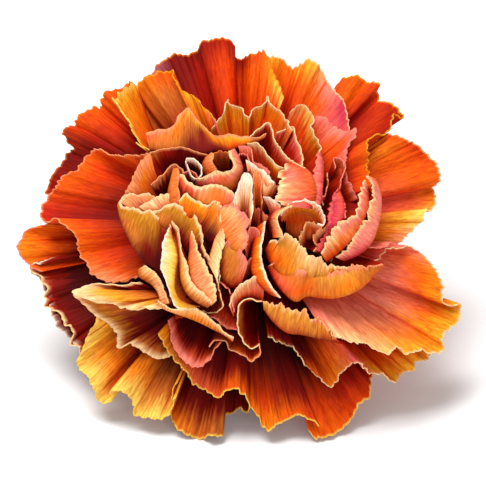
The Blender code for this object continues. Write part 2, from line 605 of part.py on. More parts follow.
def make_calyx(finish):
    """The calyx cup with its teeth, the scales round its foot and the cut stub of the stalk."""
    outgrowths = bpy.data.collections.new("outgrowths")
    bpy.context.scene.collection.children.link(outgrowths)
    for k in range(BRACT_COUNT):
        points, faces = blade(bract_sheet(2 * math.pi * (k + 0.5) / BRACT_COUNT), BRACT_THICKNESS)
        mesh_object("bract", points, faces, finish, outgrowths)
    stub = [STALK_END, (STALK_RADIUS, STALK_END), (STALK_RADIUS, CALYX_FOOT - 1.2)]
    stub += [(STALK_RADIUS + 1.3, CALYX_FOOT + 0.6), CALYX_FOOT + 1.0]
    mesh_object("stub", *turned_shell(stub, CALYX_SIDES // 2), finish, outgrowths)
    calyx = mesh_object("calyx", *turned_shell(calyx_profile(), CALYX_SIDES), finish)
    fuse(calyx, outgrowths)
    return calyx


def main():
    for old in list(bpy.data.objects):
        bpy.data.objects.remove(old)
    make_bloom(material("dyed_petal", (0.80, 0.24, 0.05), 0.55))
    make_calyx(material("calyx_green", (0.20, 0.36, 0.12), 0.5))


main()
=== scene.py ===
"""The dyed carnation head as it looks: every petal thin, frilled, toothed and dyed, over a waxy calyx.

Lengths are in millimetres in the head's own frame, as in the part: u to the right, v to the far side and w
along the axis. A point of a petal is written (x, y, w): x and y are units of the front view, y downwards.
A point without w has the height of the one before it.
"""

import math

import bpy
import numpy as np
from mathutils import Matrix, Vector


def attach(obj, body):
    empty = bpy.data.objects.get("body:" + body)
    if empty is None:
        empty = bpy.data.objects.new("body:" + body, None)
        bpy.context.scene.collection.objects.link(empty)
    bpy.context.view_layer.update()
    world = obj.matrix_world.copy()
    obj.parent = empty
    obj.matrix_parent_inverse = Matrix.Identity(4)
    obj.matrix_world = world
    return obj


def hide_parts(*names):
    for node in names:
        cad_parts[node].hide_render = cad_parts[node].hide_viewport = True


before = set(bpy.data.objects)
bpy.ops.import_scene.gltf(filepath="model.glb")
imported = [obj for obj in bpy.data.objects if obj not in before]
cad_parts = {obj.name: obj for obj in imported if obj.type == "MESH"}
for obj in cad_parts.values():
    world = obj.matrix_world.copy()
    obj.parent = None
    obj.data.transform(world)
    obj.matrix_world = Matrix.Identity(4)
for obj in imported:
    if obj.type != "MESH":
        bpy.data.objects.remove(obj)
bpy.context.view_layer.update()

MM = 0.001
TINY = 1e-9

# The front view of the bloom, which the rims are laid out in
VIEW_UNITS_PER_MM = 5.5
VIEW_AXIS_X = 245.0
VIEW_AXIS_Y = 239.0
VIEW_OFF_AXIS = math.radians(20.0)
VIEW_CENTRE = 243.0
VIEW_UNITS = 486

# How the head lies
LEAN = math.radians(35.5)
SEAT_X = 0.98
SEAT_Y = -0.55
SEAT_Z = 26.02

# Where petals start: the rings of their claws, and their shoulders, where they turn out over the mouth
GUARD_CLAW_RING = 4.3
SECOND_CLAW_RING = 3.0
INNER_CLAW_RING = 1.5
CLAW_WIDTH = 3.0
SHOULDER_OUT = 1.0
SHOULDER_SPREAD = 1.4
# How far behind its shoulders the point lies that an open petal fans out from
FAN_BEHIND = 2.0
# A folded petal: the share of its length that lies below the fold, and how far it swells out over it
FOLD_SHARE = 0.5
FOLD_BULGE = 0.28
# How far it comes up straight to its fold, as a share of the way there and at most
FOLD_UNDER = 0.35
FOLD_UNDER_MOST = 4.0
# How far it runs straight into its rim, as a share of the way back, and the shortest way back
FOLD_BACK = 0.3
FOLD_BACK_LEAST = 1.0

# The curves of rims and folds: how their knots follow the gaps between points, and their finest steps
KNOT_POWER = 0.75
CURVE_STEPS = 40

# The petals' blades: their thickness, where along a petal they thin to the edge, and their grid
PETAL_THICKNESS = 0.3
EDGE_THICKNESS = 0.2
EDGE_THINS = (0.8, 1.0)
COLUMN_PITCH = 0.22
FEWEST_COLUMNS = 24
LONGWISE_ROWS = 28
ROW_CROWDING = 1.35
SHARP_FROM = math.radians(50)

# The teeth of a rim, the fine teeth on them, and how far from its corners they are whole
TOOTH_PITCH = 1.5
TOOTH_PITCH_RANGE = (0.5, 1.6)
TOOTH_HEIGHT_RANGE = (0.25, 1.0)
TOOTH_POINT = 0.8
FINE_TOOTH_PITCH = 0.7
FINE_TOOTH_SHARE = 0.5
NOTCH_DEPTH = 0.6
CORNER = 1.5
# The waves of a frill: weight, wavelength, and the power of the way to the rim that they grow by
FRILL_WAVES = ((1.1, 9.0, 1.5), (0.6, 4.5, 3), (0.35, 1.9, 8))
CRIMP_WAVELENGTH = 0.9
WAVE_COUNT = 4
WAVELENGTH_RANGE = (0.7, 1.5)
WAVE_PEAK = 1.4
# The random seed of the first petal: each petal after it has the next one
SEED = 1000

# How unevenly the dye runs along the veins, in fine waves and in broad ones
DYE_RUN = 0.8
FINE_RUN_WAVELENGTH = 0.8
BROAD_RUN_WAVELENGTH = 2.6
BROAD_RUN_SHARE = 0.7
# The dye of the rim fades out at this many times its width
EDGE_FADE = 1.5
# The places of the streaks: that of the rim, and how far apart the petals are, which keeps them different
RIM_PLACE = 100.0
PETAL_PLACE = 37.0

# The side of the heart inside the petals, from its neck to its top: radius and height
HEART_SIDE = ((5.0, 0.6), (8.6, 2.4), (10.0, 5.0), (10.0, 7.5), (8.6, 10.0), (5.0, 12.2), (0.3, 12.6))
HEART_SIDES = 72
HEART_ROWS = 24
HEART_LOBES = 9
HEART_LOBE_DEPTH = 0.05
HEART_TWIST = 5
HEART_LENGTH = 20.0
HEART_RADIUS = 10.0

# What the dye is multiplied by: in blotches, in the veins, between the veins, where it is also a painted
# highlight, and on the ribs
BLOTCH_TINT = (0.95, 0.72, 0.6, 1.0)
VEIN_TINT = (0.72, 0.38, 0.26, 1.0)
PAINTED_HIGHLIGHT_TINT = (1.25, 1.35, 1.1, 1.0)
RIB_TINT = (0.9, 0.7, 0.6, 1.0)
# Painted shade between the petals: how far off, in metres, other petals still close a place in, and
# the tints of that painted shade where they start to and where they all but do
PAINTED_SHADE_REACH = 0.009
PAINTED_SHADE_SAMPLES = 6
PAINTED_SHADE_WARMTH = (1.0, 0.74, 0.6, 1.0)
DEEP_PAINTED_SHADE_COLOUR = (0.55, 0.17, 0.1, 1.0)

# How deep the veins look, in metres, and how much the petals shine
VEIN_DEPTH = 0.0001
PETAL_SPECULAR = 0.08

# The calyx: its lengthwise nerves, how deep they look, in metres, and from and to which heights it is dry
CALYX_NERVES = 30.0
CALYX_NERVE_DEPTH = 0.0002
CALYX_DRY_TEETH = (-2.5, 0.8)
CALYX_DRY_CUT = (-28.2, -29.6)
# Its display colours from 0 to 255, and the tint of its grain
CALYX_GREEN = (74, 108, 52)
CALYX_WAX = (132, 158, 98)
CALYX_NERVE = (154, 176, 112)
CALYX_TOOTH = (196, 160, 104)
CALYX_CUT = (188, 186, 128)
CALYX_GRAIN = (0.7, 0.72, 0.6, 1.0)

# The studio, in metres and watts
FLOOR_HALF = 3.0
FLOOR_WHITE = (0.95, 0.95, 0.95, 1.0)
FLOOR_ROUGHNESS = 0.9
WORLD_WHITE = (1.0, 1.0, 1.0, 1.0)
WORLD_STRENGTH = 0.48
LAMP_SIZE = 0.5
LAMP_AIM = (0, 0, 0.02)
LAMPS = {"key": ((-0.22, -0.05, 1.0), 10.0), "fill": ((0.3, -0.9, 0.35), 1.6)}
CAMERA_DISTANCE = 3.0
CAMERA_SENSOR_MM = 36.0
CAMERA_FAR = 20.0
CAMERA_AIM_HEIGHT = 6.0

# Dyes, as display colours from 0 to 255. Black and maroon, laid near the claws where other petals
# overhang, are partly painted shade
DYES = {
    "black": (70, 5, 3),
    "maroon": (120, 11, 3),
    "red": (164, 24, 2),
    "crimson": (192, 34, 14),
    "vermilion": (214, 62, 2),
    "orange": (230, 92, 4),
    "amber": (236, 126, 12),
    "gold": (238, 164, 34),
    "yellow": (246, 206, 92),
    "cream": (250, 212, 158),
    "white": (255, 236, 216),
    "peach": (240, 154, 104),
    "apricot": (236, 124, 56),
    "salmon": (234, 96, 56),
    "tan": (202, 112, 40),
    "ochre": (214, 144, 50),
    "olive": (190, 122, 24),
    "sand": (240, 184, 120),
    "pink": (226, 90, 92),
    "magenta": (196, 46, 84),
    "rose": (240, 134, 118),
    "lavender": (196, 116, 132),
}
# How far along a petal, from the claw to the rim, the four dyes of its recipe sit
DYE_STOPS = (0.5, 0.71, 0.89, 0.98)

PETALS = []


def full_points(points):
    """The points of a rim or a fold, each with its height."""
    full = []
    for point in points:
        full.append(point if len(point) == 3 else (*point, full[-1][2]))
    return full


def full_strips(dye):
    """The strips of a dye recipe, each with all its words."""
    strips = []
    for strip in dye.split("|"):
        words = strip.split()
        left_out = len(DYE_STOPS) - len(words)
        strips.append(strips[-1][:left_out] + words if left_out else words)
    return strips


class Petal:
    """One petal. rim runs clockwise as the front view shows it; lean is the slope at the rim in degrees,
    0 flat, 90 upright and more where the rim curls inwards, as one value or as several spread along it.
    rise is how far the petal climbs over the calyx mouth before it turns out, and hub is the point of the
    front view, with its height, that the petals of one inner whorl stand round. reach is how far an open
    petal runs straight into its rim, as a share of its length.
    fold is the line along which a petal that swells out turns back towards its rim: the view meets the
    petal edge-on there. It has the rim's direction and its points have heights too.
    frill, teeth and crimp are how far its waves, its teeth and the pleats between them go, in mm.
    dye names four dyes from the claw, or the fold, to the rim, for strips that share the rim's length; their
    black and maroon near the claw are partly painted shade where other petals overhang. A strip with fewer
    words starts as the strip before it does. edge is the dye of the rim itself, which is edge_width mm wide."""

    def __init__(self, ring, name, rim, dye, lean=0.0, rise=8.0, reach=0.45, hub=None, fold=None,
                 frill=0.7, teeth=0.4, crimp=0.015, edge="yellow", edge_width=0.22):
        self.ring = ring
        self.name = name
        self.rim = full_points(rim)
        self.dye = full_strips(dye)
        self.lean = lean if isinstance(lean, tuple) else (lean, lean)
        self.rise = rise
        self.reach = reach
        self.hub = hub
        self.fold = fold and full_points(fold)
        self.frill = frill
        self.teeth = teeth
        self.crimp = crimp
        self.edge = edge
        self.edge_width = edge_width


def guard(name, **shape):
    PETALS.append(Petal(GUARD_CLAW_RING, name, **shape))


def second(name, **shape):
    usual = {"frill": 0.45, "teeth": 0.45, "crimp": 0.04, "edge": "cream", "edge_width": 0.28}
    PETALS.append(Petal(SECOND_CLAW_RING, name, **{**usual, **shape}))


def inner(name, **shape):
    usual = {"lean": 60, "reach": 0.3, "frill": 0.25, "crimp": 0.07, "edge": "cream", "edge_width": 0.3}
    PETALS.append(Petal(INNER_CLAW_RING, name, **{**usual, **shape}))


# Guard petals, round the outside
guard("guard_top", lean=-4, edge="amber",
    dye="maroon maroon maroon lavender | red maroon maroon | red red red maroon | vermilion vermilion red | "
        "orange red | orange | gold | yellow",
    rim=((150, 77, 1), (155, 65), (165, 57), (177, 53, 0), (190, 53, 1), (199, 42, 4), (212, 38, 5),
        (226, 38), (234, 45, 3), (239, 56, 2), (251, 55, 4), (264, 50, 7), (270, 64, 9), (277, 79, 10),
        (284, 97, 11)))
guard("guard_top_right", lean=-4, rise=7, edge="cream",
    dye="red orange orange gold | vermilion orange amber | gold | rose | orange pink magenta | "
        "salmon magenta pink",
    rim=((262, 60, 2), (272, 57), (284, 57), (293, 66, 1), (302, 61, 3), (313, 60, 4), (322, 68), (329, 80),
        (337, 91), (344, 99), (348, 114, 5), (350, 130, 6)))
guard("guard_upper_right", lean=-6, rise=5.5, edge="gold",
    dye="maroon red vermilion vermilion | red vermilion orange orange | maroon red red vermilion | "
        "red vermilion vermilion red | maroon red red red | vermilion orange | "
        "red vermilion vermilion orange | orange orange",
    rim=((330, 92, 0), (337, 81), (350, 75, 1), (362, 77), (368, 83, 0), (380, 83, 1), (382, 93, 0),
        (380, 99), (391, 102), (404, 114, 1), (397, 118, 3), (389, 126, 5), (381, 132, 7), (370, 142, 9),
        (368, 156, 10), (370, 174), (373, 194), (374, 212, 9)))
guard("guard_right", lean=-4, rise=7, edge="cream",
    dye="red tan orange amber | tan tan amber orange | orange orange vermilion | "
        "salmon salmon orange orange | pink salmon amber | salmon gold yellow | orange amber peach | "
        "orange peach",
    rim=((371, 150, 5), (376, 138), (388, 133), (404, 137), (411, 141, 4), (421, 147), (433, 157, 3),
        (439, 166), (442, 177), (434, 184, 0), (437, 199), (425, 212, 2), (423, 222, 1), (410, 233, 2),
        (398, 243, 3), (382, 247, 5)))
guard("guard_lower_right", lean=-6, edge="cream",
    dye="salmon salmon salmon pink | rose salmon rose | orange amber | gold | amber gold | apricot gold | "
        "peach sand | rose cream",
    rim=((374, 262, 9), (388, 250, 7), (404, 247, 5), (420, 252, 3), (434, 267, 2), (443, 285),
        (444, 301, 1), (461, 308, -1), (460, 322, -2), (447, 333, -1), (441, 342, 0), (443, 350, -1),
        (430, 355, 0), (418, 351, 2), (408, 354, 3), (398, 346, 5), (390, 354), (372, 348, 6),
        (352, 341, 8), (328, 337, 10)))
guard("guard_low_right", lean=-10, rise=7, edge="cream",
    dye="maroon red orange gold | black maroon orange gold | gold | salmon pink | orange amber | "
        "black maroon orange | black maroon | red",
    rim=((434, 352, -2), (424, 361), (416, 363), (413, 371), (403, 374, -3), (396, 382), (384, 379, -2),
        (370, 371, 1), (356, 362, 4), (343, 373, 1), (331, 388, -1), (318, 377, 1), (306, 363, 2),
        (293, 352, 4), (281, 343, 6), (268, 337, 8)))
guard("guard_bottom_right", lean=-14, rise=5,
    dye="black black maroon red | red vermilion | vermilion orange | maroon red orange",
    rim=((378, 366, -3), (371, 382), (370, 397, -4), (360, 404), (352, 419, -4.6), (340, 432, -5.5),
        (326, 438, -4.9), (313, 437, -4), (308, 426), (302, 412, -3)))
guard("guard_bottom", lean=-12, rise=7,
    dye="black black maroon vermilion | orange | vermilion amber | maroon orange | orange | salmon | tan | "
        "maroon orange gold",
    rim=((315, 428, -3), (305, 417, -1), (298, 414, 0), (286, 421, -2), (276, 427, -3), (268, 431),
        (261, 421, -2), (255, 409, -1), (247, 399, 1), (240, 394, 2), (234, 389, 3), (226, 392),
        (217, 397, 1), (206, 391), (194, 384, 2), (186, 374, 3), (178, 364, 4), (170, 353, 5),
        (163, 343, 6), (159, 334)))
guard("guard_bottom_left", lean=-16, rise=4.5,
    dye="black black black maroon | maroon | maroon tan | amber | maroon orange gold",
    rim=((254, 405, -4), (247, 412, -5), (240, 408, -4), (232, 414, -5), (222, 417, -4), (221, 430, -5),
        (218, 437, -4.5), (210, 436, -3.6), (198, 438, -4.4), (186, 435, -5), (176, 426), (170, 415),
        (172, 401, -2), (180, 384, 0)))
guard("guard_low_left", lean=-10, rise=7, edge_width=0.6,
    dye="black black tan gold | yellow | amber yellow | maroon amber yellow | gold yellow | black tan ochre",
    rim=((176, 398, 0), (168, 411, -2), (161, 420, -4), (148, 418), (136, 415), (132, 399, -2),
        (118, 391, -1), (108, 398, -4), (102, 404, -5), (94, 392, -4), (87, 377, -3), (77, 365),
        (82, 350, -2), (88, 334, -1), (98, 321, 0), (114, 312, 2)))
guard("guard_left_frilled", lean=-18, rise=3.5, edge="white", edge_width=0.4, frill=1.0, teeth=0.5,
    dye="black black maroon maroon | black maroon | maroon red",
    rim=((86, 356, -5), (74, 345, -6), (63, 334), (54, 320), (48, 306), (43, 292), (39, 280), (30, 272),
        (28, 267, -5), (40, 262, -3), (56, 257, -2)))
guard("guard_left", lean=-8, rise=6, edge="rose",
    dye="maroon maroon vermilion orange | red orange amber | amber | maroon vermilion pink",
    rim=((40, 270, -3), (27, 264, -4), (19, 256), (17, 246), (21, 236), (28, 229, -3), (40, 225, -2),
        (52, 222, -1), (66, 222, 1)))
guard("guard_upper_left_low", lean=-18, rise=3.5, edge="tan",
    dye="black black maroon red | maroon | maroon maroon red vermilion",
    rim=((54, 196, -5), (44, 191, -6), (46, 183), (52, 174), (59, 165), (67, 152), (73, 147, -5), (66, 141),
        (60, 133, -4), (65, 127, -3), (78, 126, -2)))
guard("guard_upper_left", lean=-8, rise=6, edge="amber",
    dye="black maroon red vermilion | maroon red vermilion orange | orange | amber",
    rim=((72, 134, -3), (76, 120, -2), (84, 110, -1), (92, 105), (99, 108, -2), (102, 98, -1), (108, 91, 0),
        (117, 88), (125, 81, 1), (136, 84, 2), (146, 92, 3)))

# The second layer
second("upper_left_folded", lean=5, rise=11, edge="gold",
    dye="maroon maroon tan amber | amber | red tan orange | orange | tan amber gold | red orange amber | "
        "salmon rose",
    rim=((128, 100, 2), (130, 91), (134, 87, 3), (142, 79, 4), (155, 72, 5), (168, 70, 6), (173, 72, 7),
        (178, 86, 8), (184, 91), (193, 95, 9), (202, 101, 10), (208, 113, 11), (214, 119, 12)))
second("upper_left_lobe", lean=20, hub=(160, 156, 9), edge="yellow", edge_width=0.5,
    dye="red vermilion orange orange | amber | vermilion orange amber gold | orange orange amber gold | "
        "maroon red orange amber",
    rim=((150, 152, 11), (139, 140, 10.5), (128, 124, 10), (120, 108, 9), (117, 98, 8), (121, 89, 7),
        (127, 86, 6), (134, 86, 4.5), (138, 88, 3.5)))
second("left_fan", rise=11, edge="peach",
    dye="maroon red vermilion orange | orange peach | vermilion orange | maroon vermilion orange | "
        "red crimson | vermilion orange | red vermilion orange | orange | red orange",
    rim=((144, 277, 9), (131, 279, 7), (116, 281, 6), (102, 281, 5), (91, 275, 4), (87, 264), (78, 251),
        (75, 237, 5), (64, 226), (54, 217), (41, 222, 1), (41, 207), (47, 197, 2), (54, 187, 3), (61, 177),
        (77, 170), (85, 157), (99, 148, 5), (110, 152, 7), (121, 157, 9), (135, 155, 11), (148, 152, 13)))
second("low_left_curled", lean=-10, hub=(186, 300, 8), edge_width=0.9, teeth=0.15, crimp=0.02,
    dye="black black maroon tan | tan | tan | olive | maroon tan olive | olive yellow",
    rim=((170, 357, 3), (157, 359, 2), (143, 352), (131, 344, 3), (117, 348, 1), (117, 336, 2),
        (108, 324, 3), (95, 314, 4), (83, 304, 5), (73, 296, 6), (76, 291, 8)))
second("low_left_flap", lean=(-20, -20, -20, -10, 10, 25), hub=(186, 298, 11), edge_width=0.6, teeth=0.15,
    crimp=0.02,
    dye="black black tan cream | maroon gold cream | maroon tan gold cream | cream | "
        "black black maroon red | black maroon",
    rim=((163, 308, 12), (150, 309), (138, 310, 11), (128, 308), (116, 306, 10), (104, 304), (92, 301, 9.5),
        (80, 297, 9), (73, 292), (80, 288, 9.5), (90, 286, 10), (101, 285, 10.5), (114, 284, 11),
        (128, 283, 11.5), (140, 281, 12)))
second("left_tan_fold", rise=9, teeth=0.15, crimp=0.02,
    dye="tan sand sand cream | peach cream | maroon tan sand cream | peach",
    fold=((161, 305, 12.5), (159, 294), (153, 285), (145, 280), (139, 276, 12), (138, 270)),
    rim=((169, 303, 14), (166, 290, 14.3), (161, 279), (154, 271), (148, 268, 14), (143, 266, 13.5)))
second("bottom_pink_lip", lean=(50, 40, 25, 10, 10, 20, 40), rise=9, edge="rose", edge_width=1.3, teeth=0.3,
    dye="black black maroon orange | orange | salmon | black crimson | crimson | maroon crimson",
    rim=((222, 344, 8), (214, 350, 7.5), (207, 361, 6.5), (198, 367, 6), (188, 365), (180, 356, 6.5),
        (174, 345, 7), (169, 333, 7.5), (169, 320, 8.5)))
second("bottom_dark_cup", lean=(40, 40, 50, 40), rise=10, edge="peach", edge_width=0.5, teeth=0.2,
    dye="black maroon maroon red | red orange | tan amber | orange peach | maroon maroon",
    rim=((260, 346, 9), (257, 357, 8), (249, 361, 7), (241, 356), (234, 348, 8), (225, 342),
        (215, 342, 8.5), (209, 346, 9)))
second("top_twin_peaks", lean=45, rise=12, teeth=0.2, crimp=0.02,
    dye="red orange amber gold | orange amber amber gold | orange amber gold | maroon orange orange amber | "
        "maroon tan apricot",
    rim=((211, 128, 11), (218, 120, 12), (225, 112, 13), (228, 99, 12), (233, 104), (241, 107),
        (249, 120, 13), (254, 109, 12), (261, 105), (267, 95), (273, 106, 13), (281, 115, 14),
        (291, 123, 15), (294, 130, 16)))
second("upper_left_crest", rise=11, edge="peach", edge_width=0.5, teeth=0.2, crimp=0.02,
    dye="maroon tan salmon rose | apricot rose | amber peach | black maroon tan gold | maroon gold | "
        "amber gold | maroon orange gold gold | orange amber gold peach | maroon salmon peach rose",
    fold=((150, 150, 11), (160, 152, 12), (170, 152, 13), (181, 152, 14), (192, 155, 14.5), (204, 156, 15),
        (216, 152, 15.5), (228, 152, 16), (238, 148), (248, 144, 16.5), (258, 141, 17), (264, 138)),
    rim=((146, 133, 11), (158, 129, 12), (171, 128), (180, 117), (187, 107, 13), (195, 117, 14),
        (206, 128, 15), (216, 136, 16), (229, 134, 17), (243, 137), (256, 137, 18), (266, 133)))
second("upper_right_tall", lean=(40, 40, 60, 70, 75), rise=12, teeth=0.25,
    dye="maroon red orange peach | red vermilion orange yellow | gold | peach | maroon red salmon rose",
    rim=((290, 112, 10), (297, 106, 11), (303, 105), (309, 110, 12), (313, 120), (316, 134, 13), (319, 148),
        (321, 162, 14), (322, 176, 15), (321, 190), (319, 204, 16)))
second("upper_right_pink", lean=(0, 0, 40, 60), rise=11, edge="rose", edge_width=0.7,
    dye="vermilion orange salmon pink | rose | red orange orange rose | vermilion orange pink | rose | "
        "maroon red vermilion salmon | maroon red salmon",
    rim=((314, 124, 9), (317, 117), (327, 119), (336, 125), (347, 131), (356, 128), (357, 134, 10),
        (350, 144, 11), (346, 153, 12), (344, 162, 13), (347, 171), (350, 181), (354, 191), (356, 199)))
second("low_right_pink", lean=10, rise=11, edge="rose",
    dye="crimson pink rose rose | salmon rose pink rose | rose rose | salmon apricot rose",
    rim=((331, 262, 13), (335, 255), (341, 250), (350, 249, 12.5), (360, 251, 12), (370, 249, 11.5),
        (382, 246, 10.5), (396, 244, 8)))
second("right_cup_outer", rise=9, teeth=0.9, crimp=0.13,
    dye="red salmon rose cream | salmon rose rose cream | peach cream | rose cream | "
        "crimson pink rose cream | magenta pink rose cream",
    fold=((377, 180, 12), (380, 190), (381, 203), (380, 216), (377, 228), (373, 239), (367, 248),
        (356, 256), (344, 261)),
    rim=((366, 176, 13), (371, 188, 14), (373, 199, 14.5), (369, 209), (366, 219), (358, 227), (352, 235),
        (347, 247, 14), (335, 257)))
second("low_right_cup", rise=9, edge="peach", edge_width=0.3, teeth=0.8, crimp=0.22,
    dye="red orange tan rose | orange tan tan rose | tan amber ochre rose | orange tan ochre rose | "
        "tan orange tan rose | red salmon tan rose | maroon crimson salmon rose",
    fold=((384, 264, 11), (371, 278, 11.5), (359, 289, 12), (346, 295), (331, 298), (317, 297),
        (306, 296, 12.3), (296, 301, 12.7), (284, 293, 13.2), (274, 280, 13.6), (267, 267, 14)),
    rim=((382, 265, 12), (373, 264, 12.7), (363, 266, 13.2), (357, 264, 13.6), (349, 265, 13.8),
        (340, 269, 14), (331, 272), (322, 267), (313, 264, 14.2), (305, 270, 14.5), (297, 267, 15),
        (289, 266), (284, 262, 15.2), (276, 260, 15.5), (269, 264)))
second("low_right_frill", rise=9, edge="sand", teeth=0.9, crimp=0.3,
    dye="maroon red tan rose | tan ochre rose | red tan ochre sand | maroon tan ochre sand",
    fold=((342, 343, 9), (328, 340, 9.5), (315, 337, 10), (301, 334, 10.5), (287, 332, 11),
        (275, 323, 11.5), (264, 309, 12)),
    rim=((332, 338, 10), (326, 326, 11), (319, 318, 11.5), (311, 317, 12), (306, 309), (298, 311, 12.5),
        (288, 307, 13), (276, 304, 13.5), (263, 302, 14)))
second("low_left_band", rise=9, edge_width=0.4, teeth=0.15, crimp=0.02,
    dye="maroon tan peach cream | tan amber sand cream | sand peach cream",
    fold=((233, 341, 10), (222, 333, 10.5), (212, 328, 11), (200, 322, 11.5), (188, 317, 12), (176, 313),
        (164, 308, 12.5), (157, 303)),
    rim=((234, 336, 11), (223, 330, 11.5), (214, 322, 12), (207, 314, 13), (199, 309, 13.5), (190, 308, 14),
        (178, 308, 14.5), (168, 305, 15), (158, 301, 15.5)))

# The small curled petals of the middle
inner("top_pink_loop", hub=(262, 178, 13), edge_width=0.45, teeth=0.15, crimp=0.04,
    dye="black maroon maroon rose | red salmon | maroon red vermilion rose | salmon rose",
    rim=((243, 141, 16), (250, 137, 17), (256, 131), (261, 127), (266, 121), (271, 124), (273, 133),
        (275, 144, 17.5), (281, 151, 18), (288, 157, 18.5), (296, 162, 19), (305, 168)))
inner("top_pink_triangle", lean=50, rise=13, teeth=0.15, crimp=0.04,
    dye="maroon red vermilion rose | crimson rose | crimson vermilion rose",
    rim=((277, 133, 15), (285, 129), (293, 126), (297, 140, 16), (300, 153, 17), (304, 166, 18)))
inner("right_ribbon", lean=70, hub=(318, 216, 10), edge="rose",
    dye="maroon maroon red orange | red orange peach | red vermilion orange rose | salmon rose | "
        "crimson magenta pink rose",
    rim=((333, 168, 14), (334, 157), (338, 159), (342, 161), (342, 176, 14.5), (341, 190, 15),
        (343, 204, 15.5), (344, 218, 16)))
inner("right_magenta_frill", rise=12, edge="pink", teeth=0.6, crimp=0.28,
    dye="red salmon pink rose | crimson pink magenta rose | magenta pink magenta rose | "
        "crimson magenta pink rose",
    fold=((338, 188, 15), (344, 203), (344, 217), (338, 229), (331, 240), (322, 254)),
    rim=((336, 190, 16), (331, 202), (328, 214), (326, 226), (322, 238), (317, 250)))
inner("right_thin_blade", lean=80, hub=(316, 215, 11), edge="peach",
    dye="maroon red salmon rose",
    rim=((326, 173, 15), (327, 182, 15.5), (325, 191, 16), (322, 200, 16.5), (319, 208, 17)))
inner("tall_pink_band", rise=13, edge="rose", teeth=0.7, crimp=0.2,
    dye="vermilion pink rose rose | crimson pink rose rose | magenta pink rose rose",
    fold=((321, 154, 15), (323, 166, 15.5), (323, 178, 16), (322, 190, 16.5), (321, 200, 17), (318, 209)),
    rim=((318, 152, 16), (315, 163, 16.5), (313, 175, 17), (315, 184, 17.5), (312, 194, 18), (315, 206)))
inner("right_cup_inner", rise=10, teeth=0.9, crimp=0.13,
    dye="maroon crimson rose rose | red salmon rose cream | orange salmon rose cream | "
        "salmon apricot rose cream | red orange sand cream | maroon vermilion apricot peach",
    fold=((369, 190, 13), (369, 200, 13.5), (367, 212, 14), (362, 223), (355, 234), (346, 245), (336, 254),
        (326, 262)),
    rim=((364, 180, 15), (361, 191, 15.5), (358, 203, 16), (354, 214, 16.5), (345, 219, 17), (336, 225),
        (331, 233), (325, 242), (320, 253, 16.5)))
inner("low_right_inner", rise=10, edge_width=0.4, teeth=0.8, crimp=0.22,
    dye="red orange peach sand | maroon tan ochre cream | ochre sand cream | tan ochre sand cream | "
        "amber ochre sand | maroon orange ochre sand | amber peach",
    fold=((347, 277, 12), (332, 281, 12.3), (318, 280, 12.6), (305, 280, 13), (292, 278, 13.5),
        (280, 274, 14), (270, 264, 14.5), (265, 250, 15)),
    rim=((347, 267, 14), (337, 266, 14.5), (326, 264, 15), (321, 256, 15.5), (311, 256, 16),
        (303, 247, 16.5), (298, 241, 17), (286, 233, 17.5), (280, 239), (270, 241)))
inner("centre_frilled", rise=13, edge_width=0.6, frill=0.9, teeth=1.0, crimp=0.35,
    dye="orange salmon rose peach | salmon salmon rose peach | orange salmon peach cream | "
        "red pink rose peach",
    fold=((288, 164, 18), (300, 166), (310, 173), (315, 186), (315, 198), (311, 209)),
    rim=((284, 166, 19.5), (286, 170, 20.5), (281, 174), (282, 180), (277, 187), (277, 193), (274, 197),
        (281, 205, 20)))
inner("centre_pale_front", lean=(15, 20, 25, 20, 15), hub=(244, 234, 16.5), edge="white", edge_width=0.6,
    teeth=0.15, crimp=0.1,
    dye="salmon rose peach cream | rose peach cream white | sand cream white white | "
        "peach sand cream white | salmon rose peach cream",
    rim=((230, 211, 19.4), (233, 200, 19.8), (237, 189, 20.2), (241, 179, 20.6), (246, 172.5, 20.8),
        (250, 175), (252, 186, 20.4), (253, 200, 20), (252, 214, 19.6)))
inner("centre_pale_back", lean=25, hub=(262, 206, 15), edge="peach",
    dye="maroon tan rose peach | tan tan peach cream | maroon tan apricot peach",
    rim=((252, 172, 19.2), (256, 172), (261, 178), (268, 184), (279, 186, 18.8)))
inner("centre_brown_tube", lean=25, hub=(257, 234, 15), edge="peach", teeth=0.1, crimp=0.03,
    dye="black maroon tan apricot | maroon tan apricot peach | black maroon maroon tan",
    rim=((252, 203, 18.4), (252.5, 188, 19.2), (254, 175, 19.8), (257, 170, 20), (260, 176, 19.8),
        (261, 188, 19.2), (262, 203, 18.4)))
inner("centre_tan_floor", lean=35, hub=(252, 244, 12), edge="rose", teeth=0.5,
    dye="maroon maroon tan rose | black maroon salmon rose | maroon tan tan peach",
    rim=((242, 216, 17), (248, 208, 17.5), (256, 207), (263, 211), (268, 217, 17)))
inner("centre_ray_right", lean=50, hub=(268, 196, 14), edge_width=0.5, teeth=0.15, crimp=0.04,
    dye="maroon vermilion orange cream | red orange salmon cream | orange gold | amber gold",
    rim=((247, 144, 17.5), (256, 143, 18), (261, 148, 18.5), (266, 155, 18.7), (271, 158, 19),
        (277, 164, 19.3), (285, 168, 19.5)))
inner("centre_ray_left", lean=30, hub=(258, 200, 15), edge="rose", edge_width=0.4, teeth=0.15, crimp=0.04,
    dye="black maroon salmon rose | maroon salmon rose peach | tan rose rose",
    rim=((238, 146, 18), (247, 147, 18.3), (252, 155, 18.6), (254, 161, 18.8), (262, 164, 19),
        (270, 172, 19.2)))
inner("centre_ray_low", lean=25, hub=(258, 204, 15.5), edge="white", edge_width=0.5, teeth=0.15, crimp=0.04,
    dye="maroon rose peach cream | rose peach cream white | salmon rose peach cream",
    rim=((246, 160, 19.2), (253, 163, 19.4), (259, 168, 19.5), (265, 172), (270, 178), (275, 183, 19.4)))
inner("centre_dark_fold", hub=(247, 190, 13), edge="rose", teeth=0.3, crimp=0.04,
    dye="black black black maroon | maroon crimson",
    rim=((235, 164, 18.8), (238, 157), (243, 153, 18.6), (247, 156, 18.8), (249, 163, 19),
        (250, 171, 19.2)))
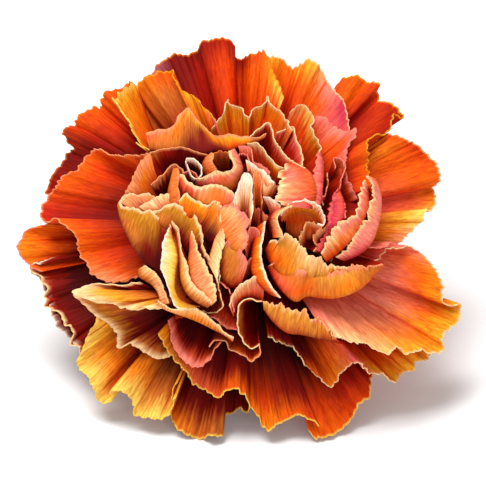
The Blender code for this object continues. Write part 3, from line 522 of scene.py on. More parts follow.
inner("right_spiral", lean=75, hub=(300, 226, 13), edge="white", edge_width=0.5, teeth=0.2,
    dye="red orange apricot peach | orange amber amber cream | gold cream | orange amber white | "
        "maroon orange apricot white",
    rim=((279, 214, 19), (283, 208, 19.5), (289, 203, 20), (298, 201), (307, 201), (316, 205, 19.5),
        (322, 213, 19), (325, 220, 18.5), (323, 225, 18), (317, 224, 17.5)))
inner("right_spiral_wall", rise=13, edge_width=0.4, teeth=0.15, crimp=0.03,
    dye="maroon orange sand cream | salmon peach sand cream | maroon salmon peach cream",
    fold=((273, 238, 17), (272, 229), (271, 220), (274, 212, 17.5), (280, 207, 18), (288, 204, 18.5)),
    rim=((283, 237, 19), (279, 229, 19.5), (277, 221, 20), (281, 213), (286, 209), (292, 206, 20.5)))
inner("right_spiral_heart", hub=(309, 250, 12), edge="sand", edge_width=0.4,
    dye="maroon red tan peach | orange amber peach | tan tan peach",
    rim=((299, 243, 16), (300, 233, 17), (304, 226), (309, 221), (315, 223), (322, 227)))
inner("right_spiral_bowl", rise=12, edge="tan", teeth=0.15, crimp=0.05,
    dye="maroon red tan tan | tan orange tan | red tan orange amber",
    fold=((321, 236, 14), (310, 240), (298, 240), (286, 233)),
    rim=((318, 216, 16), (308, 212, 16.5), (297, 212), (286, 217, 16)))
inner("right_spiral_tongue", hub=(319, 248, 12), edge="peach", edge_width=0.4,
    dye="red salmon rose peach | maroon salmon rose cream",
    rim=((314, 252, 16), (317, 246, 16.5), (313, 238, 17), (314, 232), (319, 228), (325, 226, 16.5)))
inner("centre_pale_hook", lean=35, hub=(276, 216, 15.5), edge="white", edge_width=0.5, teeth=0.15,
    dye="maroon salmon rose white | rose peach cream",
    rim=((263, 197, 19), (269, 197, 19.8), (274, 200), (280, 205, 19.6)))
inner("right_long_edge", rise=11, edge="white", edge_width=0.35, teeth=0.15, crimp=0.03,
    dye="red orange amber peach | gold cream | amber cream | vermilion apricot cream",
    fold=((256, 228, 17), (254, 240, 16.5), (252, 252, 16), (251, 264, 15.5), (253, 275, 15),
        (260, 285, 14), (270, 294, 13)),
    rim=((265, 221, 19), (264, 234, 18.5), (262, 250, 18), (262, 264, 17), (266, 276, 16), (273, 287, 15),
        (281, 297, 14)))
inner("upper_left_wrap_side", lean=28, hub=(158, 216, 10), edge="peach", teeth=0.15, crimp=0.05,
    dye="red vermilion orange peach | vermilion orange apricot peach | orange apricot amber peach | "
        "red orange apricot peach",
    rim=((119, 203, 14.5), (127, 188, 15), (134, 175, 15.3), (142, 161, 15.6), (151, 152, 16)))
inner("upper_left_wrap", lean=55, hub=(184, 190, 11), edge="peach", edge_width=0.25, teeth=0.1,
    dye="black maroon red tan | black maroon crimson | maroon | black maroon | maroon maroon",
    rim=((150, 152, 16), (158, 149), (168, 149, 16.3), (182, 148, 16.6), (196, 151, 17), (208, 154)))
inner("upper_left_fold", hub=(172, 206, 12), edge="peach", edge_width=0.35, teeth=0.1, crimp=0.03,
    dye="maroon maroon maroon peach | black maroon maroon peach | maroon maroon tan peach | "
        "tan tan apricot cream",
    rim=((151, 185, 15.5), (158, 178, 16), (166, 171, 16.5), (173, 165, 17), (179, 168, 17.2),
        (184, 174, 17.5)))
inner("upper_left_pleat", rise=12, edge="peach", teeth=0.15,
    dye="red tan apricot peach | tan apricot apricot sand",
    fold=((167, 206, 15), (168, 194, 15.5), (171, 180, 16.3), (174, 168, 17)),
    rim=((181, 206, 17), (181, 194, 17.5), (179, 180, 17.7), (177, 168, 18)))
inner("upper_left_curl", lean=80, hub=(194, 184, 14), edge="white", edge_width=0.9, teeth=0.15,
    dye="black black maroon white | white",
    rim=((198, 178, 18.5), (192, 172, 19), (187, 165), (186, 159, 20), (190, 157), (196, 160), (201, 167),
        (202, 173), (199, 177, 19.5)))
inner("upper_left_curl_lip", lean=75, hub=(192, 186, 14), edge="rose", edge_width=0.6, teeth=0.15,
    dye="maroon red salmon rose",
    rim=((183, 173, 17.5), (187, 171, 18), (191, 171, 18.3), (196, 174, 18.5), (198, 179, 18.3)))
inner("upper_left_ring", hub=(222, 178, 13), edge="apricot", edge_width=0.35,
    dye="maroon tan tan peach | red tan tan apricot | maroon tan tan peach",
    rim=((207, 166, 18), (208, 159), (213, 154, 18.5), (219, 151), (225, 151), (231, 153)))
inner("upper_left_ring_wall", rise=12, edge="peach", teeth=0.1, crimp=0.05,
    dye="maroon tan apricot peach | tan apricot peach peach",
    fold=((206, 177, 17), (202.5, 170), (203, 164, 17.5), (206, 158, 18), (212, 153)),
    rim=((217, 170, 19), (214, 165), (213, 161), (214, 158), (214, 154)))
inner("upper_left_shell", rise=12, edge_width=0.5, teeth=0.2, crimp=0.04,
    dye="rose rose rose white | salmon rose peach cream | maroon tan rose cream | salmon cream | "
        "red salmon rose cream | maroon salmon rose cream",
    fold=((234, 149, 18), (240, 160), (243, 171), (240, 182, 17.5), (235, 192, 17), (225, 195), (214, 192),
        (203, 190), (194, 186)),
    rim=((229, 151, 19.5), (232, 159, 20), (234, 166), (231, 170), (223, 172), (216, 171), (208, 175, 19.5),
        (202, 178), (198, 178)))
inner("upper_left_apron", rise=12, edge_width=0.5, teeth=0.25, crimp=0.04,
    dye="salmon rose rose cream | orange apricot rose cream | tan orange apricot peach | "
        "maroon tan apricot peach | peach cream | maroon salmon white | black maroon salmon cream | rose",
    fold=((240, 208, 18), (230, 212, 17.5), (219, 212), (208, 210), (198, 207), (190, 203), (183, 198),
        (179, 187)),
    rim=((237, 200, 19.5), (234, 194), (227, 188), (217, 184.5), (207, 185), (201, 187), (194, 185),
        (188, 181), (185, 175), (180, 174)))
inner("left_shell_outer", rise=9, edge_width=0.4,
    dye="black black black maroon | maroon tan | maroon olive ochre | maroon tan olive ochre | ochre | "
        "tan olive olive sand",
    fold=((172, 292, 12), (160, 278, 12.5), (146, 262, 13), (135, 249, 13.5), (127, 234, 14),
        (121, 218, 14.5), (118, 205, 15)),
    rim=((171, 227, 17), (167, 218), (163, 214), (159, 217), (152, 210), (143, 211), (136, 208, 16.5),
        (129, 207), (123, 206, 16), (119, 202)))
inner("left_shell_middle", rise=11, edge_width=0.5,
    dye="black black black tan | maroon olive | maroon olive ochre | maroon maroon olive ochre | "
        "tan olive sand | sand",
    fold=((206, 268, 14.5), (197, 264, 15), (188, 254), (178, 243), (168, 232, 15.5), (158, 224, 16),
        (150, 215)),
    rim=((210, 260, 17), (205, 250, 17.5), (203, 236, 18), (199, 222), (192, 211), (187, 212), (180, 205),
        (172, 203), (166, 206, 17.5), (159, 210), (153, 211, 17)))
inner("left_shell_inner", rise=12, edge_width=0.4,
    dye="maroon red apricot peach | black black tan sand | maroon amber sand | gold | "
        "maroon orange amber gold | gold cream",
    fold=((218, 242, 16), (208, 242), (199, 236), (192, 226, 16.5), (186, 216, 17), (180, 208)),
    rim=((222, 229, 18.5), (222, 218, 19), (222, 209), (221, 203), (214, 201), (208, 205), (199, 201),
        (192, 198), (187, 193), (182, 197, 18.5), (179, 201, 18)))
inner("left_small_flap", lean=10, hub=(176, 228, 13), edge_width=0.5, teeth=0.1, crimp=0.01,
    dye="apricot rose peach cream | peach apricot peach cream | maroon orange apricot peach",
    rim=((139, 207, 16), (146, 203, 16.2), (153, 199, 16.4), (161, 195, 16.5), (169, 194), (176, 196),
        (180, 201)))
inner("left_peach_corner", lean=10, hub=(158, 226, 12), teeth=0.2, crimp=0.01,
    dye="tan rose peach peach | sand rose peach peach",
    rim=((119, 202, 15.5), (123, 197, 15.6), (129, 193, 15.8), (137, 195), (145, 192), (151, 194),
        (158, 199, 15.6)))
inner("centre_peach_shell", rise=12, edge="rose", edge_width=0.4, teeth=0.6,
    dye="maroon tan peach rose | tan apricot peach rose | rose | sand rose | amber sand cream",
    fold=((240, 254, 17), (233, 250), (227, 243), (221, 233, 17.5), (218, 222, 18), (218, 212)),
    rim=((244, 247, 18.5), (248, 238, 19), (247, 229), (251, 221, 19.5), (246, 214, 20), (239, 209),
        (232, 204), (226, 206), (220, 208, 19.5)))
inner("left_ribbon_pale", rise=9, edge="white", teeth=0.25, crimp=0.05,
    dye="tan ochre gold cream | gold yellow cream | ochre yellow cream cream | white | "
        "maroon ochre gold cream",
    fold=((200, 306, 13), (188, 304, 14), (180, 300, 15), (175, 290, 16), (175, 272, 17), (177, 258, 17.5),
        (175, 246, 18), (172, 236), (171, 229)),
    rim=((183, 309, 14), (176, 307, 14.5), (171, 297, 15.5), (168, 286, 16.5), (164, 275, 17.5),
        (161, 266, 18), (162, 253, 18.5), (163, 242), (166, 234), (170, 227, 18)))
inner("left_ribbon_second", rise=9, edge_width=0.5, teeth=0.25,
    dye="maroon tan peach cream | sand cream | tan ochre sand cream | black tan apricot cream | "
        "red tan cream",
    fold=((208, 307, 14), (196, 301, 15), (187, 293, 15.5), (182, 282, 16), (180, 268), (178, 254),
        (176, 240), (173, 227, 16.5)),
    rim=((213, 302, 15.5), (204, 293, 16.5), (195, 285, 17), (189, 275, 17.5), (187, 265), (184, 255),
        (181, 241), (177, 228), (172, 221)))
inner("left_ribbon_third", rise=9, teeth=0.6, crimp=0.1,
    dye="apricot peach sand cream | peach cream | tan apricot peach cream | maroon salmon peach cream",
    fold=((212, 305, 14.5), (199, 295, 15), (190, 282, 15.5), (188, 266, 16), (190, 250, 17),
        (190, 238, 18)),
    rim=((217, 300, 16), (215, 285, 16.5), (210, 272, 17), (206, 262, 17.3), (199, 251, 18),
        (196, 240, 18.8), (193, 231, 19.2)))
inner("left_ribbon_fourth", rise=11, edge_width=0.5, teeth=0.5, crimp=0.1,
    dye="peach sand cream white | sand sand cream cream | peach peach sand cream",
    fold=((208, 262, 16), (212, 250, 16.5), (215, 240, 17), (219, 230, 17.5), (221, 220, 18)),
    rim=((219, 283, 16.5), (219, 265, 17.5), (222, 250, 18), (225, 240, 18.3), (224, 228, 18.5)))
inner("left_pink_blade", lean=70, hub=(206, 268, 12),
    dye="salmon rose rose cream | red orange orange peach",
    rim=((200, 229, 16.5), (205, 228, 17), (210, 232), (216, 230)))
inner("left_ribbon_right", lean=75, hub=(208, 275, 12),
    dye="tan apricot peach cream | tan peach cream | red tan peach cream",
    rim=((216, 268, 16.5), (219, 276), (219, 284, 16), (221, 294, 15), (224, 304, 14), (220, 310, 13),
        (211, 312, 12), (203, 309)))
inner("left_pink_strip", lean=65, hub=(227, 278, 11), edge="rose",
    dye="maroon salmon rose rose",
    rim=((219, 283, 15), (225, 287), (231, 293, 14.5), (232, 303, 14), (233, 312, 13)))
inner("centre_low_shell", rise=10, edge="rose", edge_width=0.5, teeth=0.6,
    dye="salmon salmon rose rose | maroon tan tan rose | ochre rose | maroon tan peach",
    fold=((240, 288, 13), (231, 287), (222, 281, 13.5), (218, 270, 14), (219, 256, 15)),
    rim=((248, 262, 17), (244, 254, 18), (240, 245), (235, 241), (227, 243), (221, 248, 17.5)))
inner("centre_pink_slip", hub=(252, 264, 13), edge="rose",
    dye="salmon rose rose rose | salmon rose rose",
    rim=((243, 248, 17.5), (245, 240, 18), (248, 233, 18.5), (252, 227, 19), (256, 229), (259, 235, 18.5)))
inner("centre_low_pink", hub=(252, 284, 11), edge="rose",
    dye="salmon salmon rose rose | tan salmon peach rose | salmon peach rose rose",
    rim=((242, 271, 15), (246, 263, 16), (251, 258, 16.5), (255, 266, 16), (261, 271, 15.5),
        (265, 277, 15)))
inner("bottom_hood", rise=10, edge_width=0.5, teeth=0.25, crimp=0.04,
    dye="maroon salmon rose cream | peach cream | salmon salmon rose cream",
    fold=((263, 302, 11), (252, 300), (243, 302), (238, 308), (234, 316)),
    rim=((264, 284, 14), (257, 277, 15.5), (248, 280, 16), (240, 283), (234, 291, 15), (231, 306, 14)))
inner("bottom_pocket", lean=65, hub=(254, 300, 9), edge_width=0.4, teeth=0.05, crimp=0.03,
    dye="black maroon maroon tan | maroon maroon red tan | tan tan | black maroon maroon red | "
        "black maroon tan",
    rim=((259, 343, 9), (252, 349), (244, 343, 10), (240, 330, 11), (237, 314, 13), (240, 302, 14),
        (247, 298), (255, 301), (262, 302, 13.5)))
inner("bottom_small_pink", lean=45, rise=10, edge="rose",
    dye="maroon red salmon rose | salmon salmon rose",
    rim=((239, 331, 10), (230, 330), (222, 325, 11), (216, 318, 12), (208, 316)))

# A ruffled petal that doubles the frilled guard
guard("guard_left_ruffle", lean=(50, 70, 50, 70, 50), rise=4.5, reach=0.1, edge="cream", edge_width=0.45,
    frill=1.5, teeth=0.3,
    dye="black black maroon crimson | maroon | crimson | maroon red peach",
    rim=((84, 350, -3.5), (76, 341, -4), (66, 329), (57, 317, -4.5), (51, 304), (46, 291), (42, 281),
        (34, 275), (32, 270, -4)))


def head_point(x, y, w):
    """A point of the front view, at height w, in the head's own frame."""
    u = (x - VIEW_AXIS_X) / VIEW_UNITS_PER_MM
    up = (VIEW_AXIS_Y - y) / VIEW_UNITS_PER_MM
    v = (up - w * math.sin(VIEW_OFF_AXIS)) / math.cos(VIEW_OFF_AXIS)
    return np.array((u, v, w), float)


def smooth_curve(points, samples):
    """A smooth curve through the points, in even steps of its length, and that length."""
    points = np.asarray(points, float)
    knots = np.concatenate(([0.0], np.cumsum(np.linalg.norm(np.diff(points, axis=0), axis=1) ** KNOT_POWER)))
    slopes = np.gradient(points, knots, axis=0)
    dense = np.linspace(0.0, knots[-1], CURVE_STEPS * len(points))
    k = np.clip(np.searchsorted(knots, dense, side="right") - 1, 0, len(knots) - 2)
    span = (knots[k + 1] - knots[k])[:, None]
    f = (dense - knots[k])[:, None] / span
    curve = (
        (2 * f**3 - 3 * f**2 + 1) * points[k]
        + (f**3 - 2 * f**2 + f) * span * slopes[k]
        + (3 * f**2 - 2 * f**3) * points[k + 1]
        + (f**3 - f**2) * span * slopes[k + 1]
    )
    walked = np.concatenate(([0.0], np.cumsum(np.linalg.norm(np.diff(curve, axis=0), axis=1))))
    even = np.linspace(0.0, walked[-1], samples)
    return np.stack([np.interp(even, walked, curve[:, i]) for i in range(3)], axis=1), walked[-1]


def claw_and_shoulders(petal, samples, middle):
    """The ends of the columns in the calyx and where they turn out over its mouth, with their heading."""
    if petal.hub is None:
        heading = middle[:2] / np.linalg.norm(middle[:2])
        shoulder = np.append(heading * (petal.ring + SHOULDER_OUT), petal.rise)
    else:
        shoulder = head_point(*petal.hub)
        heading = middle[:2] - shoulder[:2]
        heading = heading / max(np.linalg.norm(heading), TINY)
    foot = np.append(shoulder[:2] * min(1.0, petal.ring / max(np.linalg.norm(shoulder[:2]), TINY)), 0.0)
    across = np.array((heading[1], -heading[0], 0.0))
    spread = np.linspace(-0.5, 0.5, samples)[:, None] * CLAW_WIDTH * across
    claw = foot + spread
    shoulders = shoulder + spread * SHOULDER_SPREAD
    return claw, shoulders, heading, shoulder


def open_petal(petal, samples, share, tips):
    """A petal that spreads from its claw to its rim in one sweep."""
    rim, _ = smooth_curve([head_point(*p) for p in petal.rim], samples)
    claw, shoulders, heading, shoulder = claw_and_shoulders(petal, samples, rim.mean(axis=0))
    apex = shoulder[:2] - heading * FAN_BEHIND
    out = rim[:, :2] - apex
    out = out / np.maximum(np.linalg.norm(out, axis=1, keepdims=True), TINY)
    turns = np.interp(np.linspace(0, 1, samples), np.linspace(0, 1, len(petal.lean)), petal.lean)
    turns = np.radians(turns)
    facing = np.column_stack((out * np.cos(turns)[:, None], np.sin(turns)))
    chord = np.linalg.norm(rim - claw, axis=1, keepdims=True)
    run = np.linalg.norm(rim - shoulders, axis=1)
    t = (share * (1.0 + tips / run))[..., None]
    return bezier(t, claw, shoulders, rim - facing * chord * petal.reach, rim)


def folded_petal(petal, samples, share, tips):
    """A petal that rises edge-on at its fold and turns back from there to its rim."""
    rim, _ = smooth_curve([head_point(*p) for p in petal.rim], samples)
    fold, _ = smooth_curve([head_point(*p) for p in petal.fold], samples)
    claw, shoulders, _, _ = claw_and_shoulders(petal, samples, fold.mean(axis=0))
    sight = np.array((0.0, -math.sin(VIEW_OFF_AXIS), math.cos(VIEW_OFF_AXIS)))
    way = np.linalg.norm(fold - shoulders, axis=1, keepdims=True)
    under = np.minimum(FOLD_UNDER * way, FOLD_UNDER_MOST)
    over = FOLD_BULGE * np.linalg.norm(rim - fold, axis=1, keepdims=True)
    rise = bezier(np.minimum(share / FOLD_SHARE, 1.0)[..., None], claw, shoulders, fold - sight * under, fold)
    turn = np.maximum(share - FOLD_SHARE, 0.0) / (1.0 - FOLD_SHARE)
    turn = (turn * (1.0 + tips / np.maximum(over[:, 0] / FOLD_BULGE, FOLD_BACK_LEAST)))[..., None]
    top = bezier(turn, fold, fold + sight * over, rim - (rim - fold) * FOLD_BACK, rim)
    return np.where((share > FOLD_SHARE)[..., None], top, rise)


def bezier(t, start, after, before, end):
    return (1 - t) ** 3 * start + 3 * t * (1 - t) ** 2 * after + 3 * t**2 * (1 - t) * before + t**3 * end


def waves(x, wavelength, rng):
    """An uneven wave of about that length along x, from -1 to 1."""
    total = np.zeros_like(x)
    for _ in range(WAVE_COUNT):
        total += np.sin(2 * math.pi * (x / (wavelength * rng.uniform(*WAVELENGTH_RANGE)) + rng.uniform()))
    return total / WAVE_COUNT**0.5 / WAVE_PEAK


def saw_teeth(x, pitch, rng):
    """Uneven pointed teeth along x, from 0 in a notch to 1 at a tip."""
    stations = [0.0]
    while stations[-1] < x[-1]:
        stations.append(stations[-1] + pitch * rng.uniform(*TOOTH_PITCH_RANGE))
    heights = rng.uniform(*TOOTH_HEIGHT_RANGE, len(stations))
    k = np.clip(np.searchsorted(stations, x, side="right") - 1, 0, len(stations) - 2)
    stations = np.array(stations)
    share = (x - stations[k]) / (stations[k + 1] - stations[k])
    return heights[k] * (1.0 - np.abs(2.0 * share - 1.0)) ** TOOTH_POINT


def surface_normals(grid):
    """Unit normals of the grid, on the side that faces up from a flat petal."""
    normals = np.cross(np.gradient(grid, axis=1), np.gradient(grid, axis=0))
    return normals / np.maximum(np.linalg.norm(normals, axis=2, keepdims=True), TINY)


def petal_grid(petal, x, rng):
    """The petal's frilled middle surface, with a column for each place x along its rim, in mm, and how far
    each of its points is from claw to rim."""
    corner = np.clip(np.minimum(x, x[-1] - x) / CORNER, 0.0, 1.0)
    pleats = saw_teeth(x, TOOTH_PITCH, rng)
    fine = saw_teeth(x, FINE_TOOTH_PITCH, rng)
    tips = petal.teeth * (pleats + FINE_TOOTH_SHARE * fine - NOTCH_DEPTH) * corner
    share = np.linspace(0.0, 1.0, LONGWISE_ROWS + 1)[:, None]
    share = 1.0 - (1.0 - share) ** ROW_CROWDING + 0 * x
    shape = open_petal if petal.fold is None else folded_petal
    grid = shape(petal, len(x), share, tips)
    free = share if petal.fold is None else np.maximum(share - FOLD_SHARE, 0.0) / (1.0 - FOLD_SHARE)
    frill = petal.frill * sum(
        weight * waves(x, wavelength, rng) * free**growth for weight, wavelength, growth in FRILL_WAVES
    )
    frill = frill + petal.crimp * (pleats - 0.5 + 0.5 * waves(x, CRIMP_WAVELENGTH, rng)) * free
    return grid + surface_normals(grid) * frill[..., None], share


def linear(colour):
    """A display colour from 0 to 255 in linear light."""
    c = np.asarray(colour, float) / 255.0
    return np.where(c <= 0.04045, c / 12.92, ((c + 0.055) / 1.055) ** 2.4)


def rgba(colour):
    return (*linear(colour), 1.0)


def dyed(petal, t):
    """The dye at every point of the grid, mixed from the petal's recipe; its dark claw end is partly painted
    shade.
    """
    strips = []
    for words in petal.dye:
        stops = [linear(DYES[word]) for word in words]
        strips.append(np.stack([np.interp(t, DYE_STOPS, [s[i] for s in stops]) for i in range(3)], axis=-1))
    columns = t.shape[1]
    place = np.linspace(0.0, len(strips) - 1, columns)
    low = np.clip(place.astype(int), 0, max(len(strips) - 2, 0))
    high = np.minimum(low + 1, len(strips) - 1)
    mix = (place - low)[None, :, None]
    mix = mix * mix * (3 - 2 * mix)
    stack = np.stack(strips)
    index = np.arange(columns)
    return stack[low, :, index].swapaxes(0, 1) * (1 - mix) + stack[high, :, index].swapaxes(0, 1) * mix


def blade(grid, thickness):
    """Points and faces of a closed blade round the grid."""
    normals = surface_normals(grid)
    rows, columns = grid.shape[0], grid.shape[1]
    half = thickness[:, None, None] / 2
    points = np.concatenate(((grid + normals * half).reshape(-1, 3), (grid - normals * half).reshape(-1, 3)))
    below = rows * columns
    r, c = np.meshgrid(np.arange(rows - 1), np.arange(columns - 1), indexing="ij")
    a = (r * columns + c).ravel()
    quads = np.stack((a, a + 1, a + columns + 1, a + columns), axis=1)
    border = np.concatenate((
        np.arange(columns),
        np.arange(1, rows) * columns + columns - 1,
        (rows - 1) * columns + np.arange(columns - 2, -1, -1),
        np.arange(rows - 2, 0, -1) * columns,
    ))
    after = np.roll(border, -1)
    rim = np.stack((border, border + below, after + below, after), axis=1)
    return points, np.concatenate((quads, quads[:, ::-1] + below, rim))


def lie_down(points):
    """Head frame, in mm, to the part's own, in metres."""
    u, v, w = np.asarray(points, float).T
    x = u + SEAT_X
    y = v * math.cos(LEAN) - w * math.sin(LEAN) + SEAT_Y
    z = v * math.sin(LEAN) + w * math.cos(LEAN) + SEAT_Z
    return np.column_stack((x, y, z)) * MM


def mesh_object(name, points, faces, finish):
    mesh = bpy.data.meshes.new(name)
    mesh.from_pydata([tuple(p) for p in lie_down(points)], [], [tuple(int(i) for i in f) for f in faces])
    mesh.materials.append(finish)
    mesh.shade_smooth()
    mesh.set_sharp_from_angle(angle=SHARP_FROM)
    made = bpy.data.objects.new(name, mesh)
    bpy.context.scene.collection.objects.link(made)
    return made


def paint(mesh, colours, rim, along, across):
    """Gives each vertex its dye, how near the rim it is and its place on the petal, in mm."""
    dye = mesh.color_attributes.new("dye", "FLOAT_COLOR", "POINT")
    opaque = np.column_stack((colours, np.ones(len(colours))))
    dye.data.foreach_set("color", opaque.astype(np.float32).ravel())
    near = mesh.attributes.new("rim", "FLOAT", "POINT")
    near.data.foreach_set("value", np.asarray(rim, np.float32))
    layer = mesh.uv_layers.new(name="petal")
    corner = np.zeros(len(mesh.loops), np.int32)
    mesh.loops.foreach_get("vertex_index", corner)
    places = np.column_stack((across[corner], along[corner]))
    layer.data.foreach_set("uv", places.astype(np.float32).ravel())


def stand_for_bloom(made):
    """Fixes a piece to the part, in place of the bloom's solid."""
    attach(made, "root")
    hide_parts("bloom")


def make_petal(petal, number, finish):
    rng = np.random.default_rng(SEED + number)
    _, length = smooth_curve([head_point(*p) for p in petal.rim], 2)
    columns = max(FEWEST_COLUMNS, round(length / COLUMN_PITCH))
    x = np.linspace(0.0, length, columns + 1)
    grid, t = petal_grid(petal, x, rng)
    thickness = np.interp(t[:, 0], EDGE_THINS, (PETAL_THICKNESS, EDGE_THICKNESS))
    points, faces = blade(grid, thickness)
    made = mesh_object("petal_" + petal.name, points, faces, finish)
    steps = np.linalg.norm(np.diff(grid, axis=0), axis=2)
    run = DYE_RUN / steps.sum(axis=0).mean()
    unevenness = waves(x, FINE_RUN_WAVELENGTH, rng) + BROAD_RUN_SHARE * waves(x, BROAD_RUN_WAVELENGTH, rng)
    colours = dyed(petal, t - run * unevenness)
    to_rim = np.concatenate((steps[::-1].cumsum(axis=0)[::-1], np.zeros((1, columns + 1))))
    edge = np.clip(EDGE_FADE - to_rim / petal.edge_width, 0, 1)
    colours = colours * (1 - edge[..., None]) + linear(DYES[petal.edge]) * edge[..., None]
    along = RIM_PLACE - to_rim
    across = x + 0 * t + PETAL_PLACE * number
    paint(
        made.data,
        np.tile(colours.reshape(-1, 3), (2, 1)),
        np.tile(edge.ravel(), 2),
        np.tile(along.ravel(), 2),
        np.tile(across.ravel(), 2),
    )
    stand_for_bloom(made)


def make_heart(finish):
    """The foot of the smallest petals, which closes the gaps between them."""
    rows = np.linspace(0, 1, HEART_ROWS)
    along, turn = np.meshgrid(rows, np.linspace(0, 2 * math.pi, HEART_SIDES), indexing="ij")
    stations = np.linspace(0, 1, len(HEART_SIDE))
    radius = np.interp(along, stations, [r for r, _ in HEART_SIDE])
    height = np.interp(along, stations, [w for _, w in HEART_SIDE])
    radius = radius * (1.0 + HEART_LOBE_DEPTH * np.sin(HEART_LOBES * turn + HEART_TWIST * along))
    grid = np.stack((radius * np.sin(turn), radius * np.cos(turn), height), axis=2)
    points, faces = blade(grid, np.full(HEART_ROWS, PETAL_THICKNESS))
    made = mesh_object("heart", points, faces, finish)
    # Maroon all over: the petals' deepest dye, and painted shade deep in the gaps between them
    colours = np.tile(linear(DYES["maroon"]), (len(points), 1))
    rim = np.zeros(len(points))
    lengths = np.tile(along.ravel() * HEART_LENGTH, 2)
    widths = np.tile(turn.ravel() * HEART_RADIUS, 2)
    paint(made.data, colours, rim, lengths, widths)
    stand_for_bloom(made)


class Nodes:
    """Adds nodes to a material's tree and links them."""

    def __init__(self, name):
        self.material = bpy.data.materials.new(name)
        self.material.use_nodes = True
        self.tree = self.material.node_tree
        self.shader = self.tree.nodes["Principled BSDF"]

    def add(self, kind, settings=None, **inputs):
        node = self.tree.nodes.new(kind)
        for key, value in (settings or {}).items():
            setattr(node, key, value)
        for key, value in inputs.items():
            self.put(node.inputs[key.replace("_", " ")], value)
        return node

    def put(self, socket, value):
        if isinstance(value, bpy.types.NodeSocket):
            self.tree.links.new(value, socket)
        else:
            socket.default_value = value

    def mix(self, blend, factor, one, two):
        node = self.tree.nodes.new("ShaderNodeMix")
        node.data_type = "RGBA"
        node.blend_type = blend
        self.put(node.inputs[0], factor)
        self.put(node.inputs[6], one)
        self.put(node.inputs[7], two)
        return node.outputs[2]

    def math(self, operation, one, two=0.0):
        node = self.add("ShaderNodeMath", {"operation": operation})
        self.put(node.inputs[0], one)
        self.put(node.inputs[1], two)
        return node.outputs[0]

    def remap(self, value, low, high, to_low, to_high):
        node = self.add("ShaderNodeMapRange")
        for key, number in zip(("From Min", "From Max", "To Min", "To Max"), (low, high, to_low, to_high)):
            node.inputs[key].default_value = number
        self.put(node.inputs["Value"], value)
        return node.outputs["Result"]


def petal_material():
    """Dyed petal tissue: the dye, streaked along fine veins, with a soft velvet surface. Between the veins it
    is lightened as a painted highlight, and where other petals close in it is darkened as painted shade.
    """
    m = Nodes("dyed_petal")
    place = m.add("ShaderNodeUVMap", {"uv_map": "petal"}).outputs["UV"]
    dye = m.add("ShaderNodeVertexColor", {"layer_name": "dye"}).outputs["Color"]

    def streaks(across, along, detail):
        stretched = m.add("ShaderNodeMapping", Vector=place, Scale=(across, along, 1.0)).outputs["Vector"]
        noise = m.add("ShaderNodeTexNoise", Vector=stretched, Scale=1.0, Detail=detail, Roughness=0.6)
        return noise.outputs["Fac"]

    hatch = streaks(3.2, 0.5, 2.0)
    patches = m.remap(streaks(0.3, 0.25, 1.0), 0.35, 0.6, 0.3, 1.0)
    ribs = streaks(1.0, 0.2, 2.0)
    broad = streaks(0.3, 0.08, 2.0)
    veins = m.math("MULTIPLY", m.remap(hatch, 0.48, 0.62, 0.0, 0.65), patches)
    blotches = m.remap(broad, 0.35, 0.75, 0.0, 0.4)
    colour = m.mix("MULTIPLY", blotches, dye, BLOTCH_TINT)
    colour = m.mix("MULTIPLY", veins, colour, VEIN_TINT)
    # Lighter between the veins: streaks of the petal's own tone and a painted highlight
    colour = m.mix("MULTIPLY", m.remap(hatch, 0.5, 0.36, 0.0, 0.7), colour, PAINTED_HIGHLIGHT_TINT)
    colour = m.mix("MULTIPLY", m.remap(ribs, 0.45, 0.75, 0.0, 0.25), colour, RIB_TINT)
    # Painted shade: darker and redder where other petals close in, weaker at the rim
    around = m.add("ShaderNodeAmbientOcclusion", {"samples": PAINTED_SHADE_SAMPLES}, Distance=PAINTED_SHADE_REACH)
    openness = around.outputs["AO"]
    rim = m.add("ShaderNodeAttribute", {"attribute_name": "rim"}).outputs["Fac"]
    inside = m.remap(rim, 0.0, 1.0, 1.0, 0.25)
    shade = m.math("MULTIPLY", m.remap(openness, 0.92, 0.4, 0.0, 1.0), inside)
    colour = m.mix("MULTIPLY", shade, colour, PAINTED_SHADE_WARMTH)
    deep_shade = m.math("MULTIPLY", m.remap(openness, 0.62, 0.08, 0.0, 1.0), inside)
    colour = m.mix("MULTIPLY", deep_shade, colour, DEEP_PAINTED_SHADE_COLOUR)
    m.put(m.shader.inputs["Base Color"], colour)
    height = m.mix("MIX", 0.5, hatch, ribs)
    bump = m.add("ShaderNodeBump", Strength=0.2, Distance=VEIN_DEPTH, Height=height)
    m.put(m.shader.inputs["Normal"], bump.outputs["Normal"])
    m.put(m.shader.inputs["Roughness"], m.remap(hatch, 0.3, 0.7, 0.7, 0.56))
    m.shader.inputs["Specular IOR Level"].default_value = PETAL_SPECULAR
    return m.material


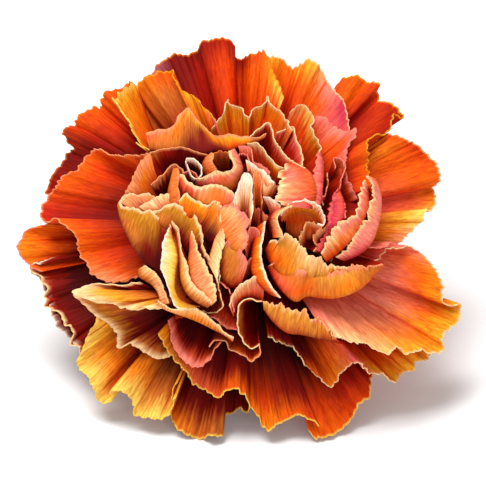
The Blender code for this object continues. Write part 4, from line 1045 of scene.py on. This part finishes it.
def calyx_material():
    """Waxy grey-green tissue with lengthwise nerves, tawny and dry at its teeth and at the cut stalk."""
    m = Nodes("calyx_green")
    place = m.add("ShaderNodeTexCoord").outputs["Object"]
    turned = m.add("ShaderNodeMapping", Vector=place, Rotation=(-LEAN, 0.0, 0.0), Location=(
        -SEAT_X * MM,
        (-SEAT_Y * math.cos(LEAN) - SEAT_Z * math.sin(LEAN)) * MM,
        (SEAT_Y * math.sin(LEAN) - SEAT_Z * math.cos(LEAN)) * MM,
    )).outputs["Vector"]
    split = m.add("ShaderNodeSeparateXYZ", Vector=turned)
    turn = m.math("ARCTAN2", split.outputs["X"], split.outputs["Y"])
    height = m.math("MULTIPLY", split.outputs["Z"], 1.0 / MM)
    wax = m.add("ShaderNodeTexNoise", Vector=place, Scale=260.0, Detail=4.0).outputs["Fac"]
    grain = m.add("ShaderNodeTexNoise", Vector=place, Scale=1500.0, Detail=2.0).outputs["Fac"]
    wander = m.math("ADD", m.math("MULTIPLY", turn, CALYX_NERVES), m.math("MULTIPLY", wax, 5.0))
    nerves = m.remap(m.math("SINE", wander), 0.2, 1.0, 0.0, 1.0)
    ramp = m.add("ShaderNodeValToRGB", Fac=m.remap(wax, 0.3, 0.7, 0.0, 1.0))
    ramp.color_ramp.elements[0].color = rgba(CALYX_GREEN)
    ramp.color_ramp.elements[1].color = rgba(CALYX_WAX)
    colour = m.mix("MIX", m.math("MULTIPLY", nerves, 0.45), ramp.outputs["Color"], rgba(CALYX_NERVE))
    dry = m.math("ADD", height, m.math("MULTIPLY", wax, 2.0))
    colour = m.mix("MIX", m.remap(dry, *CALYX_DRY_TEETH, 0.0, 0.85), colour, rgba(CALYX_TOOTH))
    colour = m.mix("MIX", m.remap(dry, *CALYX_DRY_CUT, 0.0, 0.8), colour, rgba(CALYX_CUT))
    colour = m.mix("MULTIPLY", m.remap(grain, 0.4, 0.75, 0.0, 0.5), colour, CALYX_GRAIN)
    m.put(m.shader.inputs["Base Color"], colour)
    relief = m.mix("MIX", 0.4, nerves, grain)
    bump = m.add("ShaderNodeBump", Strength=0.35, Distance=CALYX_NERVE_DEPTH, Height=relief)
    m.put(m.shader.inputs["Normal"], bump.outputs["Normal"])
    m.put(m.shader.inputs["Roughness"], m.remap(wax, 0.3, 0.7, 0.42, 0.62))
    return m.material


def floor_and_light():
    mesh = bpy.data.meshes.new("floor")
    corners = [(x * FLOOR_HALF, y * FLOOR_HALF, 0) for x, y in ((-1, -1), (1, -1), (1, 1), (-1, 1))]
    mesh.from_pydata(corners, [], [(0, 1, 2, 3)])
    floor = bpy.data.objects.new("floor", mesh)
    bpy.context.scene.collection.objects.link(floor)
    m = Nodes("floor_white")
    m.shader.inputs["Base Color"].default_value = FLOOR_WHITE
    m.shader.inputs["Roughness"].default_value = FLOOR_ROUGHNESS
    mesh.materials.append(m.material)
    world = bpy.data.worlds.new("studio")
    bpy.context.scene.world = world
    world.use_nodes = True
    background = world.node_tree.nodes["Background"]
    background.inputs["Color"].default_value = WORLD_WHITE
    background.inputs["Strength"].default_value = WORLD_STRENGTH
    for name, (place, power) in LAMPS.items():
        lamp(name, place, power)


def lamp(name, place, power):
    light = bpy.data.lights.new(name, "AREA")
    light.size = LAMP_SIZE
    light.energy = power
    made = bpy.data.objects.new(name, light)
    made.location = place
    made.rotation_euler = (Vector(LAMP_AIM) - Vector(place)).to_track_quat("-Z", "Y").to_euler()
    bpy.context.scene.collection.objects.link(made)


def aim_camera():
    """A long lens at the front view's angle, framed as that view is."""
    back = Vector((0.0, -math.sin(LEAN + VIEW_OFF_AXIS), math.cos(LEAN + VIEW_OFF_AXIS)))
    target = Vector(lie_down([head_point(VIEW_CENTRE, VIEW_CENTRE, CAMERA_AIM_HEIGHT)])[0])
    data = bpy.data.cameras.new("camera")
    camera = bpy.data.objects.new("camera", data)
    camera.location = target + back * CAMERA_DISTANCE
    camera.rotation_euler = (-back).to_track_quat("-Z", "Y").to_euler()
    data.sensor_width = CAMERA_SENSOR_MM
    data.lens = data.sensor_width * CAMERA_DISTANCE / (VIEW_UNITS / VIEW_UNITS_PER_MM * MM)
    data.clip_end = CAMERA_FAR
    bpy.context.scene.collection.objects.link(camera)
    bpy.context.scene.camera = camera


petal_finish = petal_material()
for number, petal in enumerate(PETALS):
    make_petal(petal, number, petal_finish)
make_heart(petal_finish)
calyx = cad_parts["calyx"]
calyx.data.materials.clear()
calyx.data.materials.append(calyx_material())
floor_and_light()
aim_camera()
bpy.context.scene.view_settings.view_transform = "Standard"
